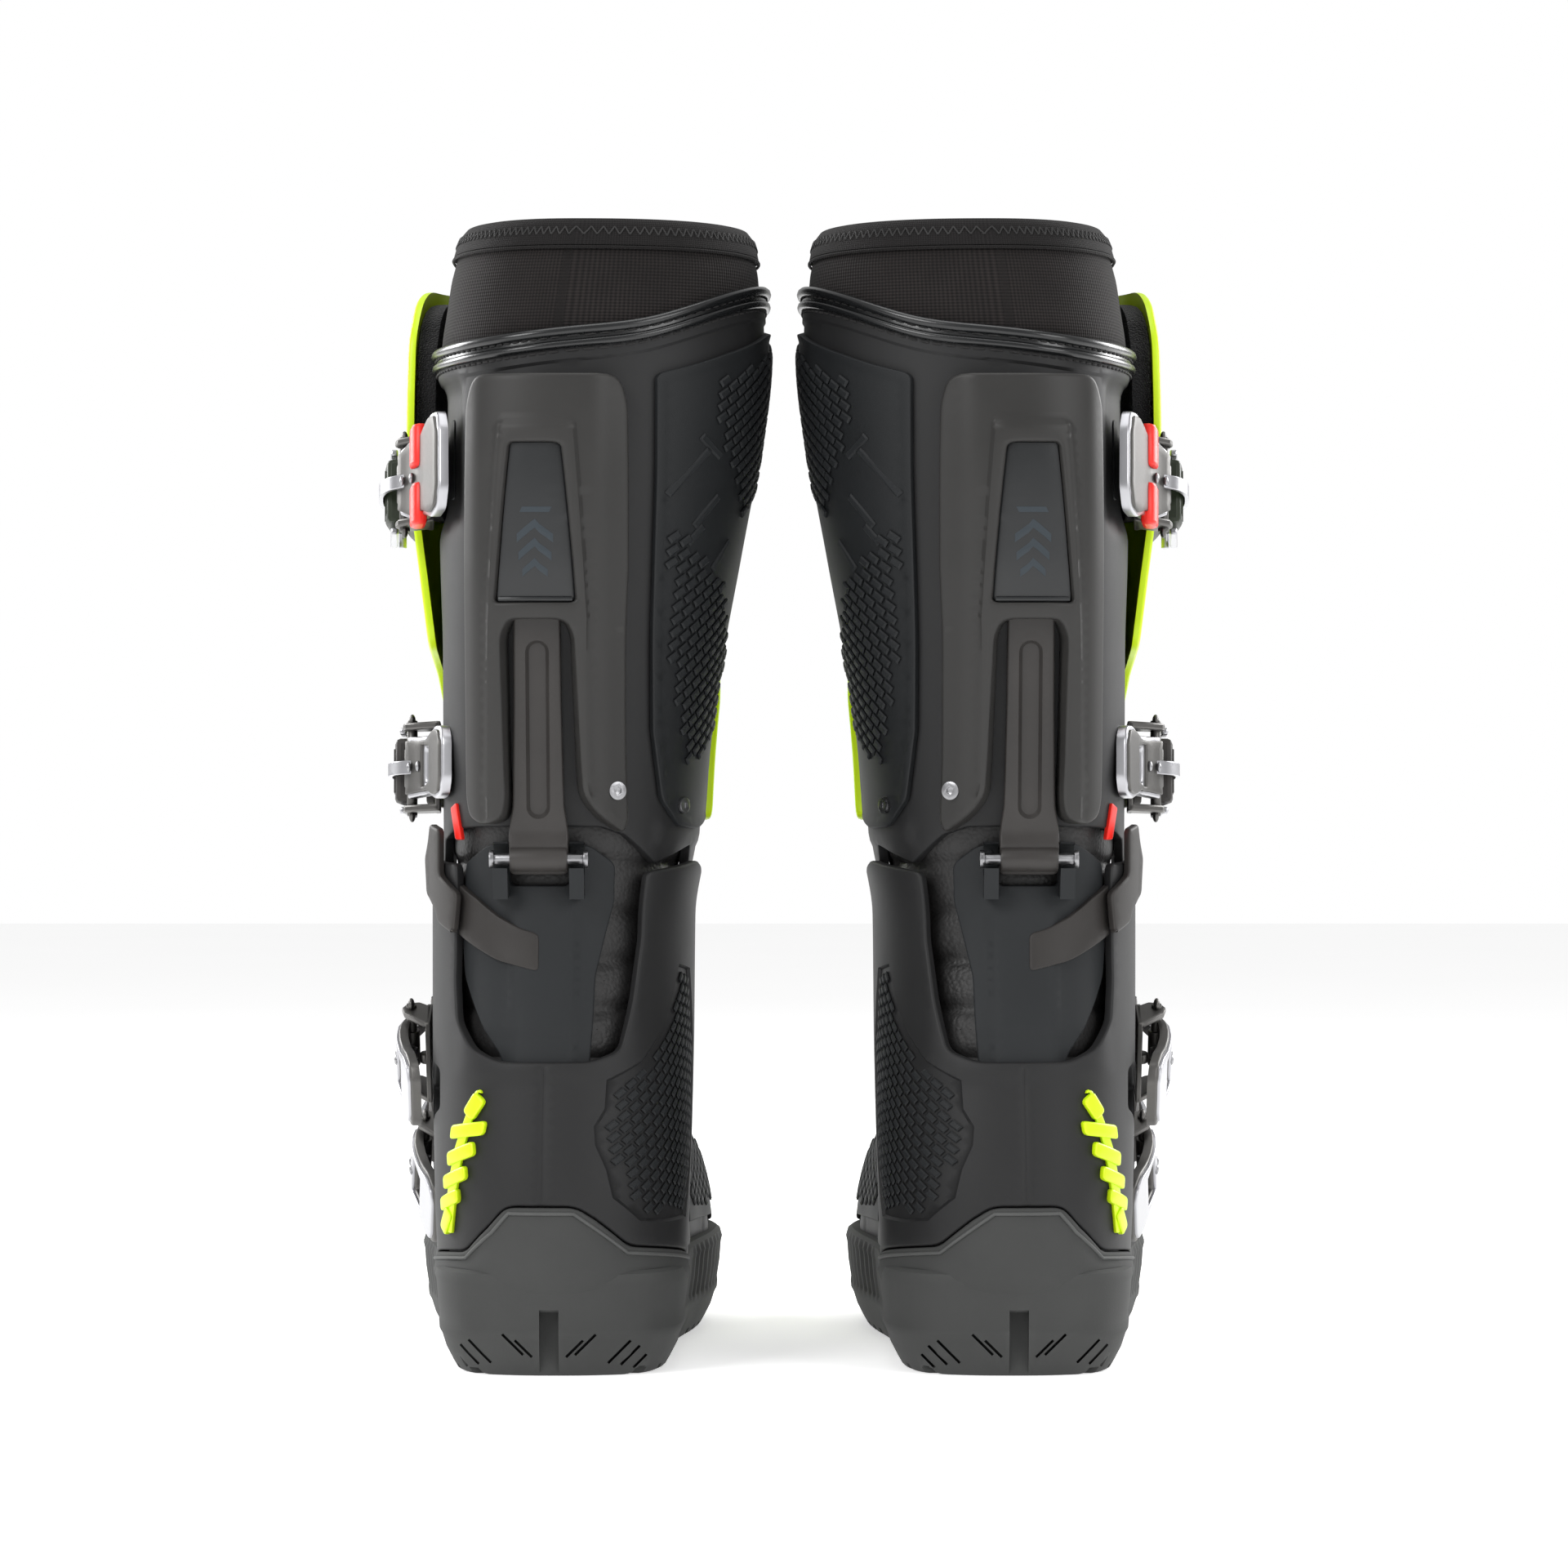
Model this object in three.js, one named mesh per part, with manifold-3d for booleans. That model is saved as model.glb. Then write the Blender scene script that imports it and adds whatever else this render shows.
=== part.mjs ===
// A pair of motocross riding boots, each an assembly of shells, soft inner pieces, straps and buckles.
// Millimetres. +Z is up, the toes point along +Y, and the left boot stands at -X.
// One boot is built in its own frame: x towards the inside of the leg, y from heel to toe, z up.
// Every shell is a layer of one shape, the last, which runs from the sole to the top of the shaft.
import * as THREE from "three";
import { mergeVertices } from "three/addons/utils/BufferGeometryUtils.js";
import Module from "manifold-3d";

const wasm = await Module();
wasm.setup();

// ---- driving dimensions ----
const BOOT_HEIGHT = 432;
const SOLE_LENGTH = 316;
const BOOT_SPACING = 169; // between the heels' centre lines
const GAP = 0.4; // clearance between neighbouring pieces
const SHELL_WALL = 3.5;
const LEATHER_WALL = 4;
const LINING_WALL = 4;
const ARM_GAP = 0.9; // between the cuff's lugs and the heel frame's arms
const STRAP_WIDTH = 26;
const STRAP_THICKNESS = 3;
const LEVER_LENGTH = 46;
const SPINE_WIDTH = 22; // of the link's straight part
const SPINE_THICKNESS = 3.4;
const PIVOT_RADIUS = 8; // of the ankle pivots' bosses

// The stations below are those of a boot 432 high and 316 long: these turn them into this one's.
const high = (z) => (z * BOOT_HEIGHT) / 432;
const along = (y) => (y * SOLE_LENGTH) / 316;

const ANKLE = { y: along(85), z: high(152) };
const SPINE_PIN = { x: -7, y: along(13), z: high(192) };

// Leg stations: height, outer side, inner side, back, front, x of the back's crest, y of the widest part.
const LEG = [
  [22, -42, 42, 3, 150, 0, 68],
  [60, -44, 44, 0, 155, -1, 70],
  [120, -45.5, 45.5, 9, 176, -2.5, 79],
  [170, -46, 46, 20, 158, -5, 85],
  [200, -46, 51, 17, 145, -6, 83],
  [232, -46, 54, 10.5, 143, -7, 81],
  [268, -46, 59, 2.5, 147, -7, 80],
  [306, -47, 66, -5, 152, -5, 80],
  [346, -47.5, 73, -8, 157, -2, 80],
  [385, -47, 77, -6, 158, 2, 80],
  [410, -44, 76, -1, 154, 5, 79],
  [432, -38, 72, 6, 148, 8, 78],
];
// Foot stations: distance from the heel, outer side, inner side, top.
const FOOT = [
  [60, -42, 42, 108],
  [115, -45, 43, 138],
  [145, -49, 45, 139],
  [175, -54, 49, 122],
  [215, -57.5, 54, 99],
  [262, -53, 51, 82],
  [288, -42, 42, 72],
  [302, -30, 32, 63],
  [311, -17, 19, 54],
  [315.5, -6, 8, 42],
];
const FOOT_BASE = 22;
const LEG_SIDES = 20;
const FOOT_SIDES = 10;

// ---- solids ----
function solidOf(geometry) {
  const bare = new THREE.BufferGeometry();
  const source = geometry.index ? geometry.toNonIndexed() : geometry;
  bare.setAttribute("position", source.getAttribute("position"));
  const merged = mergeVertices(bare, 1e-4);
  const faces = new Uint32Array(merged.index.array);
  const build = () =>
    new wasm.Manifold(
      new wasm.Mesh({
        numProp: 3,
        vertProperties: merged.attributes.position.array,
        triVerts: faces,
      }),
    );
  const made = build();
  if (made.volume() > 0) return made;
  for (let i = 0; i < faces.length; i += 3) {
    [faces[i + 1], faces[i + 2]] = [faces[i + 2], faces[i + 1]];
  }
  return build();
}

function geometryOf(solid) {
  const mesh = solid.getMesh();
  const geometry = new THREE.BufferGeometry();
  geometry.setAttribute("position", new THREE.BufferAttribute(mesh.vertProperties, 3));
  geometry.setIndex(new THREE.BufferAttribute(mesh.triVerts, 1));
  return geometry;
}

// A solid skinned over closed rings with the same number of points, capped at both ends.
function loft(rings) {
  const sides = rings[0].length;
  const last = (rings.length - 1) * sides;
  const faces = [];
  for (let i = 0; i + 1 < rings.length; i++) {
    for (let j = 0; j < sides; j++) {
      const a = i * sides + j;
      const b = i * sides + ((j + 1) % sides);
      faces.push(a, b, b + sides, a, b + sides, a + sides);
    }
  }
  for (let j = 1; j + 1 < sides; j++) {
    faces.push(0, j + 1, j, last, last + j, last + j + 1);
  }
  const geometry = new THREE.BufferGeometry();
  const positions = rings.flat().flatMap((p) => [p.x, p.y, p.z]);
  geometry.setAttribute("position", new THREE.Float32BufferAttribute(positions, 3));
  geometry.setIndex(faces);
  return solidOf(geometry);
}

const rounded = (value, power) => Math.sign(value) * Math.abs(value) ** power;

// One level ring of the leg, grown outwards by layer, and by flare as well on the outer side.
function legRing(station, layer, flare, z) {
  const [, outer, inner, back, front, crest, widest] = station;
  const ring = [];
  for (let i = 0; i < LEG_SIDES; i++) {
    const turn = (2 * Math.PI * i) / LEG_SIDES;
    const sideways = Math.sin(turn);
    const forwards = -Math.cos(turn);
    const extra = layer + (sideways < 0 ? flare * sideways ** 2 : 0);
    const reachX = (sideways > 0 ? inner - crest : crest - outer) + extra;
    const reachY = (forwards > 0 ? along(front - widest) : along(widest - back)) + extra;
    ring.push(
      new THREE.Vector3(
        crest + reachX * rounded(sideways, 0.84),
        along(widest) + reachY * rounded(forwards, 0.84),
        z,
      ),
    );
  }
  return ring;
}

function leg(layer, flare = 0) {
  const end = LEG.length - 1;
  return loft(
    LEG.map((station, i) => {
      const level = high(station[0]) + (i === 0 ? -layer : 0) + (i === end ? 1 + layer / 20 : 0);
      return legRing(station, layer, flare, level);
    }),
  );
}

function foot(layer) {
  const middle = along(160);
  const stretch = 1 + layer / along(156);
  return loft(
    FOOT.map(([y, outer, inner, top]) => {
      const base = FOOT_BASE - layer;
      const ring = [];
      for (let i = 0; i <= FOOT_SIDES; i++) {
        const turn = (Math.PI * i) / FOOT_SIDES;
        const reach = Math.max(1, (turn < Math.PI / 2 ? inner : -outer) + layer);
        ring.push(
          new THREE.Vector3(
            reach * rounded(Math.cos(turn), 0.75),
            middle + (along(y) - middle) * stretch,
            base + (high(top) + layer - base) * rounded(Math.sin(turn), 0.75),
          ),
        );
      }
      return ring;
    }),
  );
}

// The last grown by layer, and the skin between two such shapes.
const last = (layer) => leg(layer).add(foot(layer));
const skin = (from, to) => last(to).subtract(last(from));
const legSkin = (from, to, flare = 0) => leg(to, flare).subtract(cutterLeg(from, flare));

// The leg shape with its ends pushed out, to cut with.
function cutterLeg(layer, flare) {
  const rings = LEG.map((station) => legRing(station, layer, flare, high(station[0])));
  const lift = (ring, by) => ring.map((p) => new THREE.Vector3(p.x, p.y, p.z + by));
  rings[0] = lift(rings[0], -20);
  rings.push(lift(rings[rings.length - 1], 20));
  return loft(rings);
}

function prism(points, place, from, to) {
  const shape = new THREE.Shape(points.map(([a, b]) => new THREE.Vector2(a, b)));
  const geometry = new THREE.ExtrudeGeometry(shape, { depth: to - from, bevelEnabled: false });
  geometry.translate(0, 0, from);
  place(geometry);
  return solidOf(geometry);
}
// Outlines as seen from behind (x, z), from the side (y, z) and from above (x, y).
const fromBehind = (points, from, to) =>
  prism(points.map(([x, z]) => [x, high(z)]), (g) => g.rotateX(Math.PI / 2).scale(1, -1, 1), from, to);
const fromSide = (points, from, to) =>
  prism(
    points.map(([y, z]) => [along(y), high(z)]),
    (g) => g.rotateX(Math.PI / 2).rotateZ(Math.PI / 2),
    from,
    to,
  );
const fromAbove = (points, from, to) =>
  prism(points.map(([x, y]) => [x, along(y)]), () => {}, from, to);

function block([x0, x1], [y0, y1], [z0, z1]) {
  const geometry = new THREE.BoxGeometry(x1 - x0, y1 - y0, z1 - z0);
  geometry.translate((x0 + x1) / 2, (y0 + y1) / 2, (z0 + z1) / 2);
  return solidOf(geometry);
}

// A round bar along x.
function barX(radius, [x0, x1], y, z, sides = 16) {
  const geometry = new THREE.CylinderGeometry(radius, radius, x1 - x0, sides);
  geometry.rotateZ(Math.PI / 2);
  geometry.translate((x0 + x1) / 2, y, z);
  return solidOf(geometry);
}

const FAR = 2 * Math.max(BOOT_HEIGHT, SOLE_LENGTH); // past every side of the boot, for cutting shapes

// ---- colours ----
const PLASTIC = { color: 0x2c2c2c, roughness: 0.55 };
const PLATE = { color: 0x3d3b38, roughness: 0.5 };
const RUBBER = { color: 0x434341, roughness: 0.85 };
const SOFT_BLACK = { color: 0x1d1a1a, roughness: 0.95 };
const LEATHER = { color: 0x201f1e, roughness: 0.7 };
const NEON = { color: 0xc6ee12, roughness: 0.5 };
const METAL = { color: 0xb9b9bb, roughness: 0.35, metalness: 0.9 };

const boot = new THREE.Group();
function add(name, solid, material) {
  const mesh = new THREE.Mesh(geometryOf(solid), new THREE.MeshStandardMaterial(material));
  mesh.name = name;
  boot.add(mesh);
}

// ---- sole ----
const HEEL_TOP = 42;
const SOLE_TOP = 38;
const SEAT = SOLE_TOP + 0.8; // where the frame and the toe cap end above the sole
// Distance from the heel, outer side, inner side.
const SOLE_PLAN = [
  [0, -13, 13],
  [4, -27, 27],
  [12, -37, 37],
  [28, -43.5, 43.5],
  [60, -46, 46],
  [115, -48, 45],
  [150, -52, 48],
  [190, -58, 54],
  [235, -59.5, 57],
  [264, -55, 53],
  [286, -45, 46],
  [302, -32, 34],
  [312, -18, 21],
  [316, -6, 9],
];
function soleRing(z, grow) {
  const middle = along(158);
  const stretch = 1 + grow / middle;
  const side = (column, sign) =>
    SOLE_PLAN.map(
      (row) =>
        new THREE.Vector3(row[column] + sign * grow, middle + (along(row[0]) - middle) * stretch, z),
    );
  return [...side(2, 1), ...side(1, -1).reverse()];
}
// The heel cup's outline on the boot's back.
const CUP = [
  [-60, HEEL_TOP],
  [-45, HEEL_TOP],
  [-33, 45.5],
  [-25, 55],
  [-18, 63],
  [7, 63],
  [14, 58.5],
  [26, 48],
  [45, HEEL_TOP],
  [60, HEEL_TOP],
];
{
  const tread = loft([soleRing(0, -6), soleRing(high(13), 0), soleRing(high(SOLE_TOP), 1.5)]).subtract(last(GAP));
  const backHalf = block([-FAR, FAR], [-FAR, along(62)], [high(30), FAR]);
  const cup = skin(GAP, 4.6)
    .intersect(fromBehind([[-60, 30], ...CUP, [60, 30]], -FAR, FAR))
    .intersect(backHalf);
  const toeSpring = fromSide([[232, -1], [330, -1], [330, 14], [282, 4.5]], -FAR, FAR);
  const waist = fromSide([[94, -1], [100, 4.5], [132, 4.5], [152, -1]], -FAR, FAR);
  const notch = block([-6.2, 0.8], [-20, 6], [-1, high(25)]);
  add("outsole", tread.add(cup).subtract(toeSpring).subtract(waist).subtract(notch), RUBBER);
}

// ---- foot ----
const BOOTIE_OUTSIDE = -SHELL_WALL - GAP;
const FRAME_OUTSIDE = ARM_GAP + SHELL_WALL;
const BADGE_GAP = 0.2;
const BADGE_THICKNESS = 1.2;
add(
  "foot_shell",
  skin(-SHELL_WALL, 0).intersect(
    fromSide(
      [
        [-20, 5], [340, 5], [340, 158], [168, 158], [142, 150], [106, 122], [72, 104], [40, 97], [-20, 97],
      ],
      -FAR,
      FAR,
    ),
  ),
  PLASTIC,
);
add(
  "toe_cap",
  skin(GAP, 3.2).intersect(
    fromSide([[238, SEAT], [340, SEAT], [340, 110], [262, 110], [246, 66]], -FAR, FAR),
  ),
  PLASTIC,
);
{
  const wrap = skin(ARM_GAP, FRAME_OUTSIDE).intersect(
    fromSide(
      [
        [-20, SEAT], [128, SEAT], [119, 62], [107, 92], [101, 130], [98, 164], [91, 178], [82, 188], [60, 192],
        [47, 188], [42, 165], [38, 141], [28, 125], [14, 117], [-20, 117],
      ],
      -FAR,
      FAR,
    ),
  );
  const cupRoom = fromBehind(
    [[-60, 30], ...CUP.map(([x, z]) => [x, z + GAP]), [60, 30]],
    -FAR,
    along(64),
  );
  const bossRadius = PIVOT_RADIUS - GAP;
  const bossInside = 46.3 - SHELL_WALL; // just clear of the flex zone
  const bosses = barX(bossRadius, [bossInside, 48], ANKLE.y, ANKLE.z).add(
    barX(bossRadius, [-48, -bossInside], ANKLE.y, ANKLE.z),
  );
  add("heel_frame", wrap.subtract(cupRoom).add(bosses), PLASTIC);
}
add(
  "heel_badge",
  skin(FRAME_OUTSIDE + BADGE_GAP, FRAME_OUTSIDE + BADGE_GAP + BADGE_THICKNESS)
    .intersect(
      fromBehind([[-25, 108], [-36, 109], [-60, 100], [-60, 50], [-37, 49], [-30, 70]], -FAR, along(34)),
    ),
  NEON,
);
add(
  "flex_bootie",
  skin(BOOTIE_OUTSIDE - LEATHER_WALL, BOOTIE_OUTSIDE).intersect(
    fromSide(
      [[-20, 86], [44, 86], [78, 94], [112, 112], [146, 126], [220, 126], [220, 235], [-20, 235]],
      -FAR,
      FAR,
    ),
  ),
  LEATHER,
);

// ---- back of the ankle ----
{
  const barrel = 4.8;
  const pinRadius = 2.2;
  const { x, y, z } = SPINE_PIN;
  const halfFoot = SPINE_WIDTH / 2;
  const earInside = halfFoot + GAP;
  const earOutside = earInside + 5.5;
  const plate = skin(-SHELL_WALL, 0).intersect(
    fromBehind(
      [
        [-18, 118], [10, 118], [14, 148], [21, 176], [21, 190], [12, 197.5], [-26, 197.5], [-35, 190],
        [-37, 166], [-35, 146],
      ],
      -FAR,
      along(58),
    ),
  );
  let held = plate;
  for (const side of [-1, 1]) {
    const ends = [x + side * earInside, x + side * earOutside].sort((a, b) => a - b);
    held = held.add(barX(6, ends, y, z)).add(block(ends, [y, y + 8.5], [z - 5, z + 5]));
  }
  const bore = (radius) => barX(radius, [-FAR, FAR], y, z);
  const relief = barX(8.2, [x - earInside, x + earInside], y, z);
  add("achilles_plate", held.subtract(bore(pinRadius + GAP)).subtract(relief), RUBBER);
  add("spine_pin", barX(pinRadius, [x - earOutside - 1, x + earOutside + 1], y, z, 12), METAL);

  // The link lies just behind the cuff and leans forwards with it; above its foot it narrows.
  const footFront = y + 4.2;
  const headFront = along(-3.4) - 1; // 1 behind the leg's back, 106 above the pin
  const lean = (headFront - footFront) / high(106);
  const front = (level) => footFront + lean * (level - z);
  const low = z + 1;
  const top = high(300);
  const web = loft(
    [
      [low, halfFoot],
      [z + high(22), halfFoot - 2],
      [top, halfFoot - 2],
    ].map(([level, half]) => [
      new THREE.Vector3(x - half, front(level) - SPINE_THICKNESS, level),
      new THREE.Vector3(x + half, front(level) - SPINE_THICKNESS, level),
      new THREE.Vector3(x + half, front(level), level),
      new THREE.Vector3(x - half, front(level), level),
    ]),
  );
  const knuckle = barX(barrel, [x - halfFoot, x + halfFoot], y, z);
  add("spine_link", web.add(knuckle).subtract(bore(pinRadius + GAP)), PLATE);
}
add(
  "ankle_strap",
  skin(GAP, 3).intersect(
    fromBehind([[-7, 150], [-7, 164], [-22, 171], [-35.5, 180], [-35.5, 163], [-22, 156]], -FAR, along(38)),
  ),
  RUBBER,
);

// ---- shaft ----
// The cuff's top edge, seen from behind: it climbs towards the inner side.
const TOP_EDGE = [[-90, 380], [-47, 380.5], [4, 385.5], [29, 388.5], [77, 406], [100, 414]];
const cuffFront = [[128, 206], [122, 240], [112, 300], [108, 430]];
add(
  "cuff_shell",
  legSkin(-SHELL_WALL, 0)
    .intersect(fromBehind([...TOP_EDGE, [100, 100], [-90, 100]], -FAR, FAR))
    .intersect(
      fromSide(
        [
          [-30, 204], [40, 203], [60, 199], [68, 182], [70, 150], [76, 139], [91, 139], [96, 150],
          [96, 184], [101, 200], ...cuffFront, [-30, 430],
        ],
        -FAR,
        FAR,
      ),
    )
    .subtract(barX(PIVOT_RADIUS, [-60, 60], ANKLE.y, ANKLE.z)),
  PLASTIC,
);
add(
  "collar_lining",
  legSkin(BOOTIE_OUTSIDE - LINING_WALL - 1, BOOTIE_OUTSIDE).intersect(
    block([-FAR, FAR], [-FAR, FAR], [high(235) + GAP, high(415)]),
  ),
  SOFT_BLACK,
);
add(
  "gaiter",
  legSkin(-SHELL_WALL, -0.5).intersect(
    fromBehind([...TOP_EDGE.map(([x, z]) => [x, z + GAP]), [100, 431], [-90, 431]], -FAR, FAR),
  ),
  SOFT_BLACK,
);
add(
  "gaiter_piping",
  legSkin(GAP, 3).intersect(
    fromBehind(
      [...TOP_EDGE.map(([x, z]) => [x, z + 3]), ...TOP_EDGE.map(([x, z]) => [x, z - 3.5]).reverse()],
      -FAR,
      along(100),
    ),
  ),
  RUBBER,
);

// The back plate is thick enough to house the top of the spine link.
const POCKET = 7.2;
const WINDOW_FLOOR = 7.9;
const PLATE_OUTSIDE = 9.6;
const WINDOW = [[-16.6, 346], [2.2, 346], [7.6, 287], [-22, 287]];
{
  const outline = [
    [-30, 371.5], [-33.7, 368], [-35, 361], [-35, 214], [-33, 206], [-28, 205], [-28, 195], [16.5, 195],
    [16.5, 203], [26, 202], [28, 206], [28, 361], [26.7, 368], [23, 371.5],
  ];
  const channel = [[-29, 190], [17, 190], [16, 206], [10, 275], [8, 281], [-20.5, 281], [-23, 275], [-28, 206]];
  const pocket = [[-22, 270], [9, 270], [7, 309], [-20, 309]];
  const opening = WINDOW.map(([x, z]) => [
    x + Math.sign(x + 7) * GAP,
    z + Math.sign(z - 316) * GAP,
  ]);
  const back = along(60);
  const slab = legSkin(GAP, PLATE_OUTSIDE)
    .intersect(fromBehind(outline, -FAR, back))
    .subtract(fromBehind(channel, -FAR, back))
    .subtract(legSkin(-1, POCKET).intersect(fromBehind(pocket, -FAR, back)))
    .subtract(legSkin(WINDOW_FLOOR, 20).intersect(fromBehind(opening, -FAR, back)));
  add("rear_plate", slab, PLATE);
  add(
    "rear_window",
    legSkin(WINDOW_FLOOR + GAP, PLATE_OUTSIDE - 0.7).intersect(fromBehind(WINDOW, -FAR, back)),
    PLASTIC,
  );
}
// The shin plate's inner edge is a straight line, its hinge; the burn guard ends just behind it.
const SHIN_EDGE = [[98, 206], [129, 412]];
add(
  "burn_guard",
  legSkin(GAP, 3)
    .intersect(
      fromBehind(
        [[36.5, 374], [60, 382], [100, 396], [100, 203], [41, 203], [32, 214], [33, 300], [36.5, 340]],
        -FAR,
        FAR,
      ),
    )
    .intersect(fromSide([[-20, 190], ...SHIN_EDGE.map(([y, z]) => [y - 5, z]), [-20, 412]], -FAR, FAR)),
  RUBBER,
);

// ---- shin plate ----
// Its outer side flares away from the cuff, so that its edge lies over the cuff's front.
const FLARE = 8;
const SHIN_INSIDE = GAP + 0.3;
const SHIN_OUTSIDE = SHIN_INSIDE + 3;
{
  const outerHalf = fromSide(
    [[68, 272], [96, 264], [124, 226], [134, 206], [220, 206], [220, 411], [98, 411], [84, 404], [73, 388]],
    -FAR,
    0,
  );
  const innerHalf = fromSide([SHIN_EDGE[0], [220, 206], [220, 411], SHIN_EDGE[1]], 0, FAR);
  const region = outerHalf.add(innerHalf);
  const behind = fromAbove([[-30, 0], [30, 0], [30, 100], [-30, 100]], -FAR, FAR);
  add(
    "shin_plate",
    legSkin(SHIN_INSIDE, SHIN_OUTSIDE, FLARE).intersect(region).subtract(behind),
    NEON,
  );
}

// ---- straps and buckles ----
// Each is placed by the point on the boot's outer side below its lever's hinge. tilt is the strap's slope
// towards the toe, yaw turns the buckle to the boot's curve, top is the height of the strap's outer face
// above that point, and inner is where the strap ends on the inner side.
const BUCKLES = [
  { x: -48, y: 61, z: 334, tilt: -10, yaw: 4, top: 14, rise: 12, half: 20, shaft: true, inner: 26 },
  { x: -46.4, y: 82, z: 226, tilt: -4, yaw: 2, top: 14, rise: 12, half: 14, shaft: true, inner: 26 },
  { x: -50.6, y: 102, z: 118, tilt: 24, yaw: 0, top: -2.5, rise: 9, half: 14, shaft: false, inner: 38 },
  { x: -48.8, y: 148, z: 74, tilt: 32, yaw: 6, top: 1.5, rise: 9, half: 14, shaft: false, inner: 44 },
];
const CATCH_START = 12;
const BAIL_REACH = 36;

function buckle(item, index) {
  const { x, y, z, tilt, yaw, top, rise, half, shaft, inner } = item;
  const name = `buckle_${index + 1}`;
  const slope = THREE.MathUtils.degToRad(tilt);
  const turn = THREE.MathUtils.degToRad(yaw);
  // Local axes: out of the boot, backwards along the strap, and across the strap.
  const out = new THREE.Vector3(-Math.cos(turn), -Math.sin(turn), 0);
  const level = new THREE.Vector3(Math.sin(turn), -Math.cos(turn), 0);
  const back = level.clone().applyAxisAngle(out, -slope);
  const across = out.clone().cross(back);
  const frame = new THREE.Matrix4()
    .makeBasis(out, back, across)
    .setPosition(x, along(y), high(z));
  const part = (geometry) => solidOf(geometry.applyMatrix4(frame));
  const box = ([n0, n1], [t0, t1], [w0, w1]) =>
    part(new THREE.BoxGeometry(n1 - n0, t1 - t0, w1 - w0).translate((n0 + n1) / 2, (t0 + t1) / 2, (w0 + w1) / 2));
  const bar = (radius, w0, w1) =>
    part(
      new THREE.CylinderGeometry(radius, radius, w1 - w0, 10)
        .rotateX(Math.PI / 2)
        .translate(rise, 0, (w0 + w1) / 2),
    );
  const cheek = (points, w0, w1) => {
    const shape = new THREE.Shape(points.map(([n, t]) => new THREE.Vector2(n, t)));
    return part(
      new THREE.ExtrudeGeometry(shape, { depth: w1 - w0, bevelEnabled: false }).translate(0, 0, w0),
    );
  };
  const both = (make) => make(1).add(make(-1));
  const mirrored = (side, w0, w1) => (side > 0 ? [w0, w1] : [-w1, -w0]);

  // Base: a foot plate, a middle knuckle and two cheeks. The bail reaches from the cheeks over the strap's
  // catch on the foot. On the shaft it goes with the strap, because that one swings away with the shin plate.
  const bailInside = STRAP_WIDTH / 2 + 1.4;
  const bailOutside = bailInside + 2.8;
  const barLow = top + 1;
  const barHigh = barLow + 3;
  const cheekBack = [[0.9, 14], [3, 14], [rise + 3, 4]];
  const cheekFront = [[rise - 3, -5], [0.9, -1]];
  const bailArm = [
    [barHigh, -13], [barHigh, -BAIL_REACH], [barLow - 1.5, -BAIL_REACH], [barLow - 1.5, -13],
  ];
  const arm = shaft
    ? [...cheekBack, [rise + 3.5, -2], [rise + 1, -5], ...cheekFront]
    : [...cheekBack, [rise + 3.5, -3], ...bailArm, ...cheekFront];
  const bailBar = box([barLow, barHigh], [-BAIL_REACH, -BAIL_REACH + 3], [-bailOutside, bailOutside]);
  let base = box([0.9, 3], [-3, 14], [-bailOutside, bailOutside])
    .add(bar(3.4, -7.8, 7.8))
    .add(box([1.5, rise], [-2, 2], [-7.8, 7.8]))
    .add(both((side) => cheek(arm, ...mirrored(side, bailInside, bailOutside))));
  if (!shaft) base = base.add(bailBar);
  add(`${name}_base`, base, METAL);

  // Lever: two ears round the hinge and a plate that lies back along the boot.
  const ears = both((side) => bar(4.2, ...mirrored(side, 7.8 + GAP, bailInside - GAP)));
  const neck = cheek(
    [
      [rise + 3.8, -3], [rise + 5, -3], [rise + 5, 8], [rise + 1.5, 8], [rise + 3.8, 4.5],
    ],
    -(bailInside - GAP),
    bailInside - GAP,
  );
  const tip = rise - (shaft ? 11.5 : 3.2);
  const grip = cheek(
    [
      [rise + 1.5, 6.5], [rise + 5, 6.5], [(rise + tip) / 2 + 5.5, LEVER_LENGTH - 20],
      [tip + 3, LEVER_LENGTH], [tip, LEVER_LENGTH], [(rise + tip) / 2 + 1.5, LEVER_LENGTH - 20],
    ],
    -half,
    half,
  );
  add(`${name}_lever`, ears.add(neck).add(grip), METAL);

  // Strap: a band over the front, ending in a raised catch inside the bail.
  const forwards = new THREE.Vector2(Math.cos(slope), Math.sin(slope));
  const sideways = new THREE.Vector2(-forwards.y, forwards.x).multiplyScalar(STRAP_WIDTH / 2);
  const start = new THREE.Vector2(along(y) + CATCH_START * Math.cos(slope), high(z) + CATCH_START * Math.sin(slope));
  const corner = (reach, side) => [
    (start.x + forwards.x * reach + side * sideways.x) / along(1),
    (start.y + forwards.y * reach + side * sideways.y) / high(1),
  ];
  const band = fromSide([corner(0, -1), corner(170, -1), corner(170, 1), corner(0, 1)], -FAR, inner);
  const inside = shaft ? SHIN_OUTSIDE + GAP : GAP + 0.2;
  const sheet = shaft
    ? legSkin(inside, inside + STRAP_THICKNESS, FLARE)
    : skin(inside, inside + STRAP_THICKNESS);
  const catchEnd = shaft ? -BAIL_REACH + 1 : -BAIL_REACH + 4.5;
  const catchBlock = box([top - 2.5, top + 5], [catchEnd, -CATCH_START - 0.5], [-8, 8]);
  let strap = sheet.intersect(band).add(catchBlock);
  if (shaft) {
    strap = strap.add(bailBar).add(both((side) => cheek(bailArm, ...mirrored(side, bailInside, bailOutside))));
  }
  add(`${name}_strap`, strap, RUBBER);
}
BUCKLES.forEach(buckle);

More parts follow.
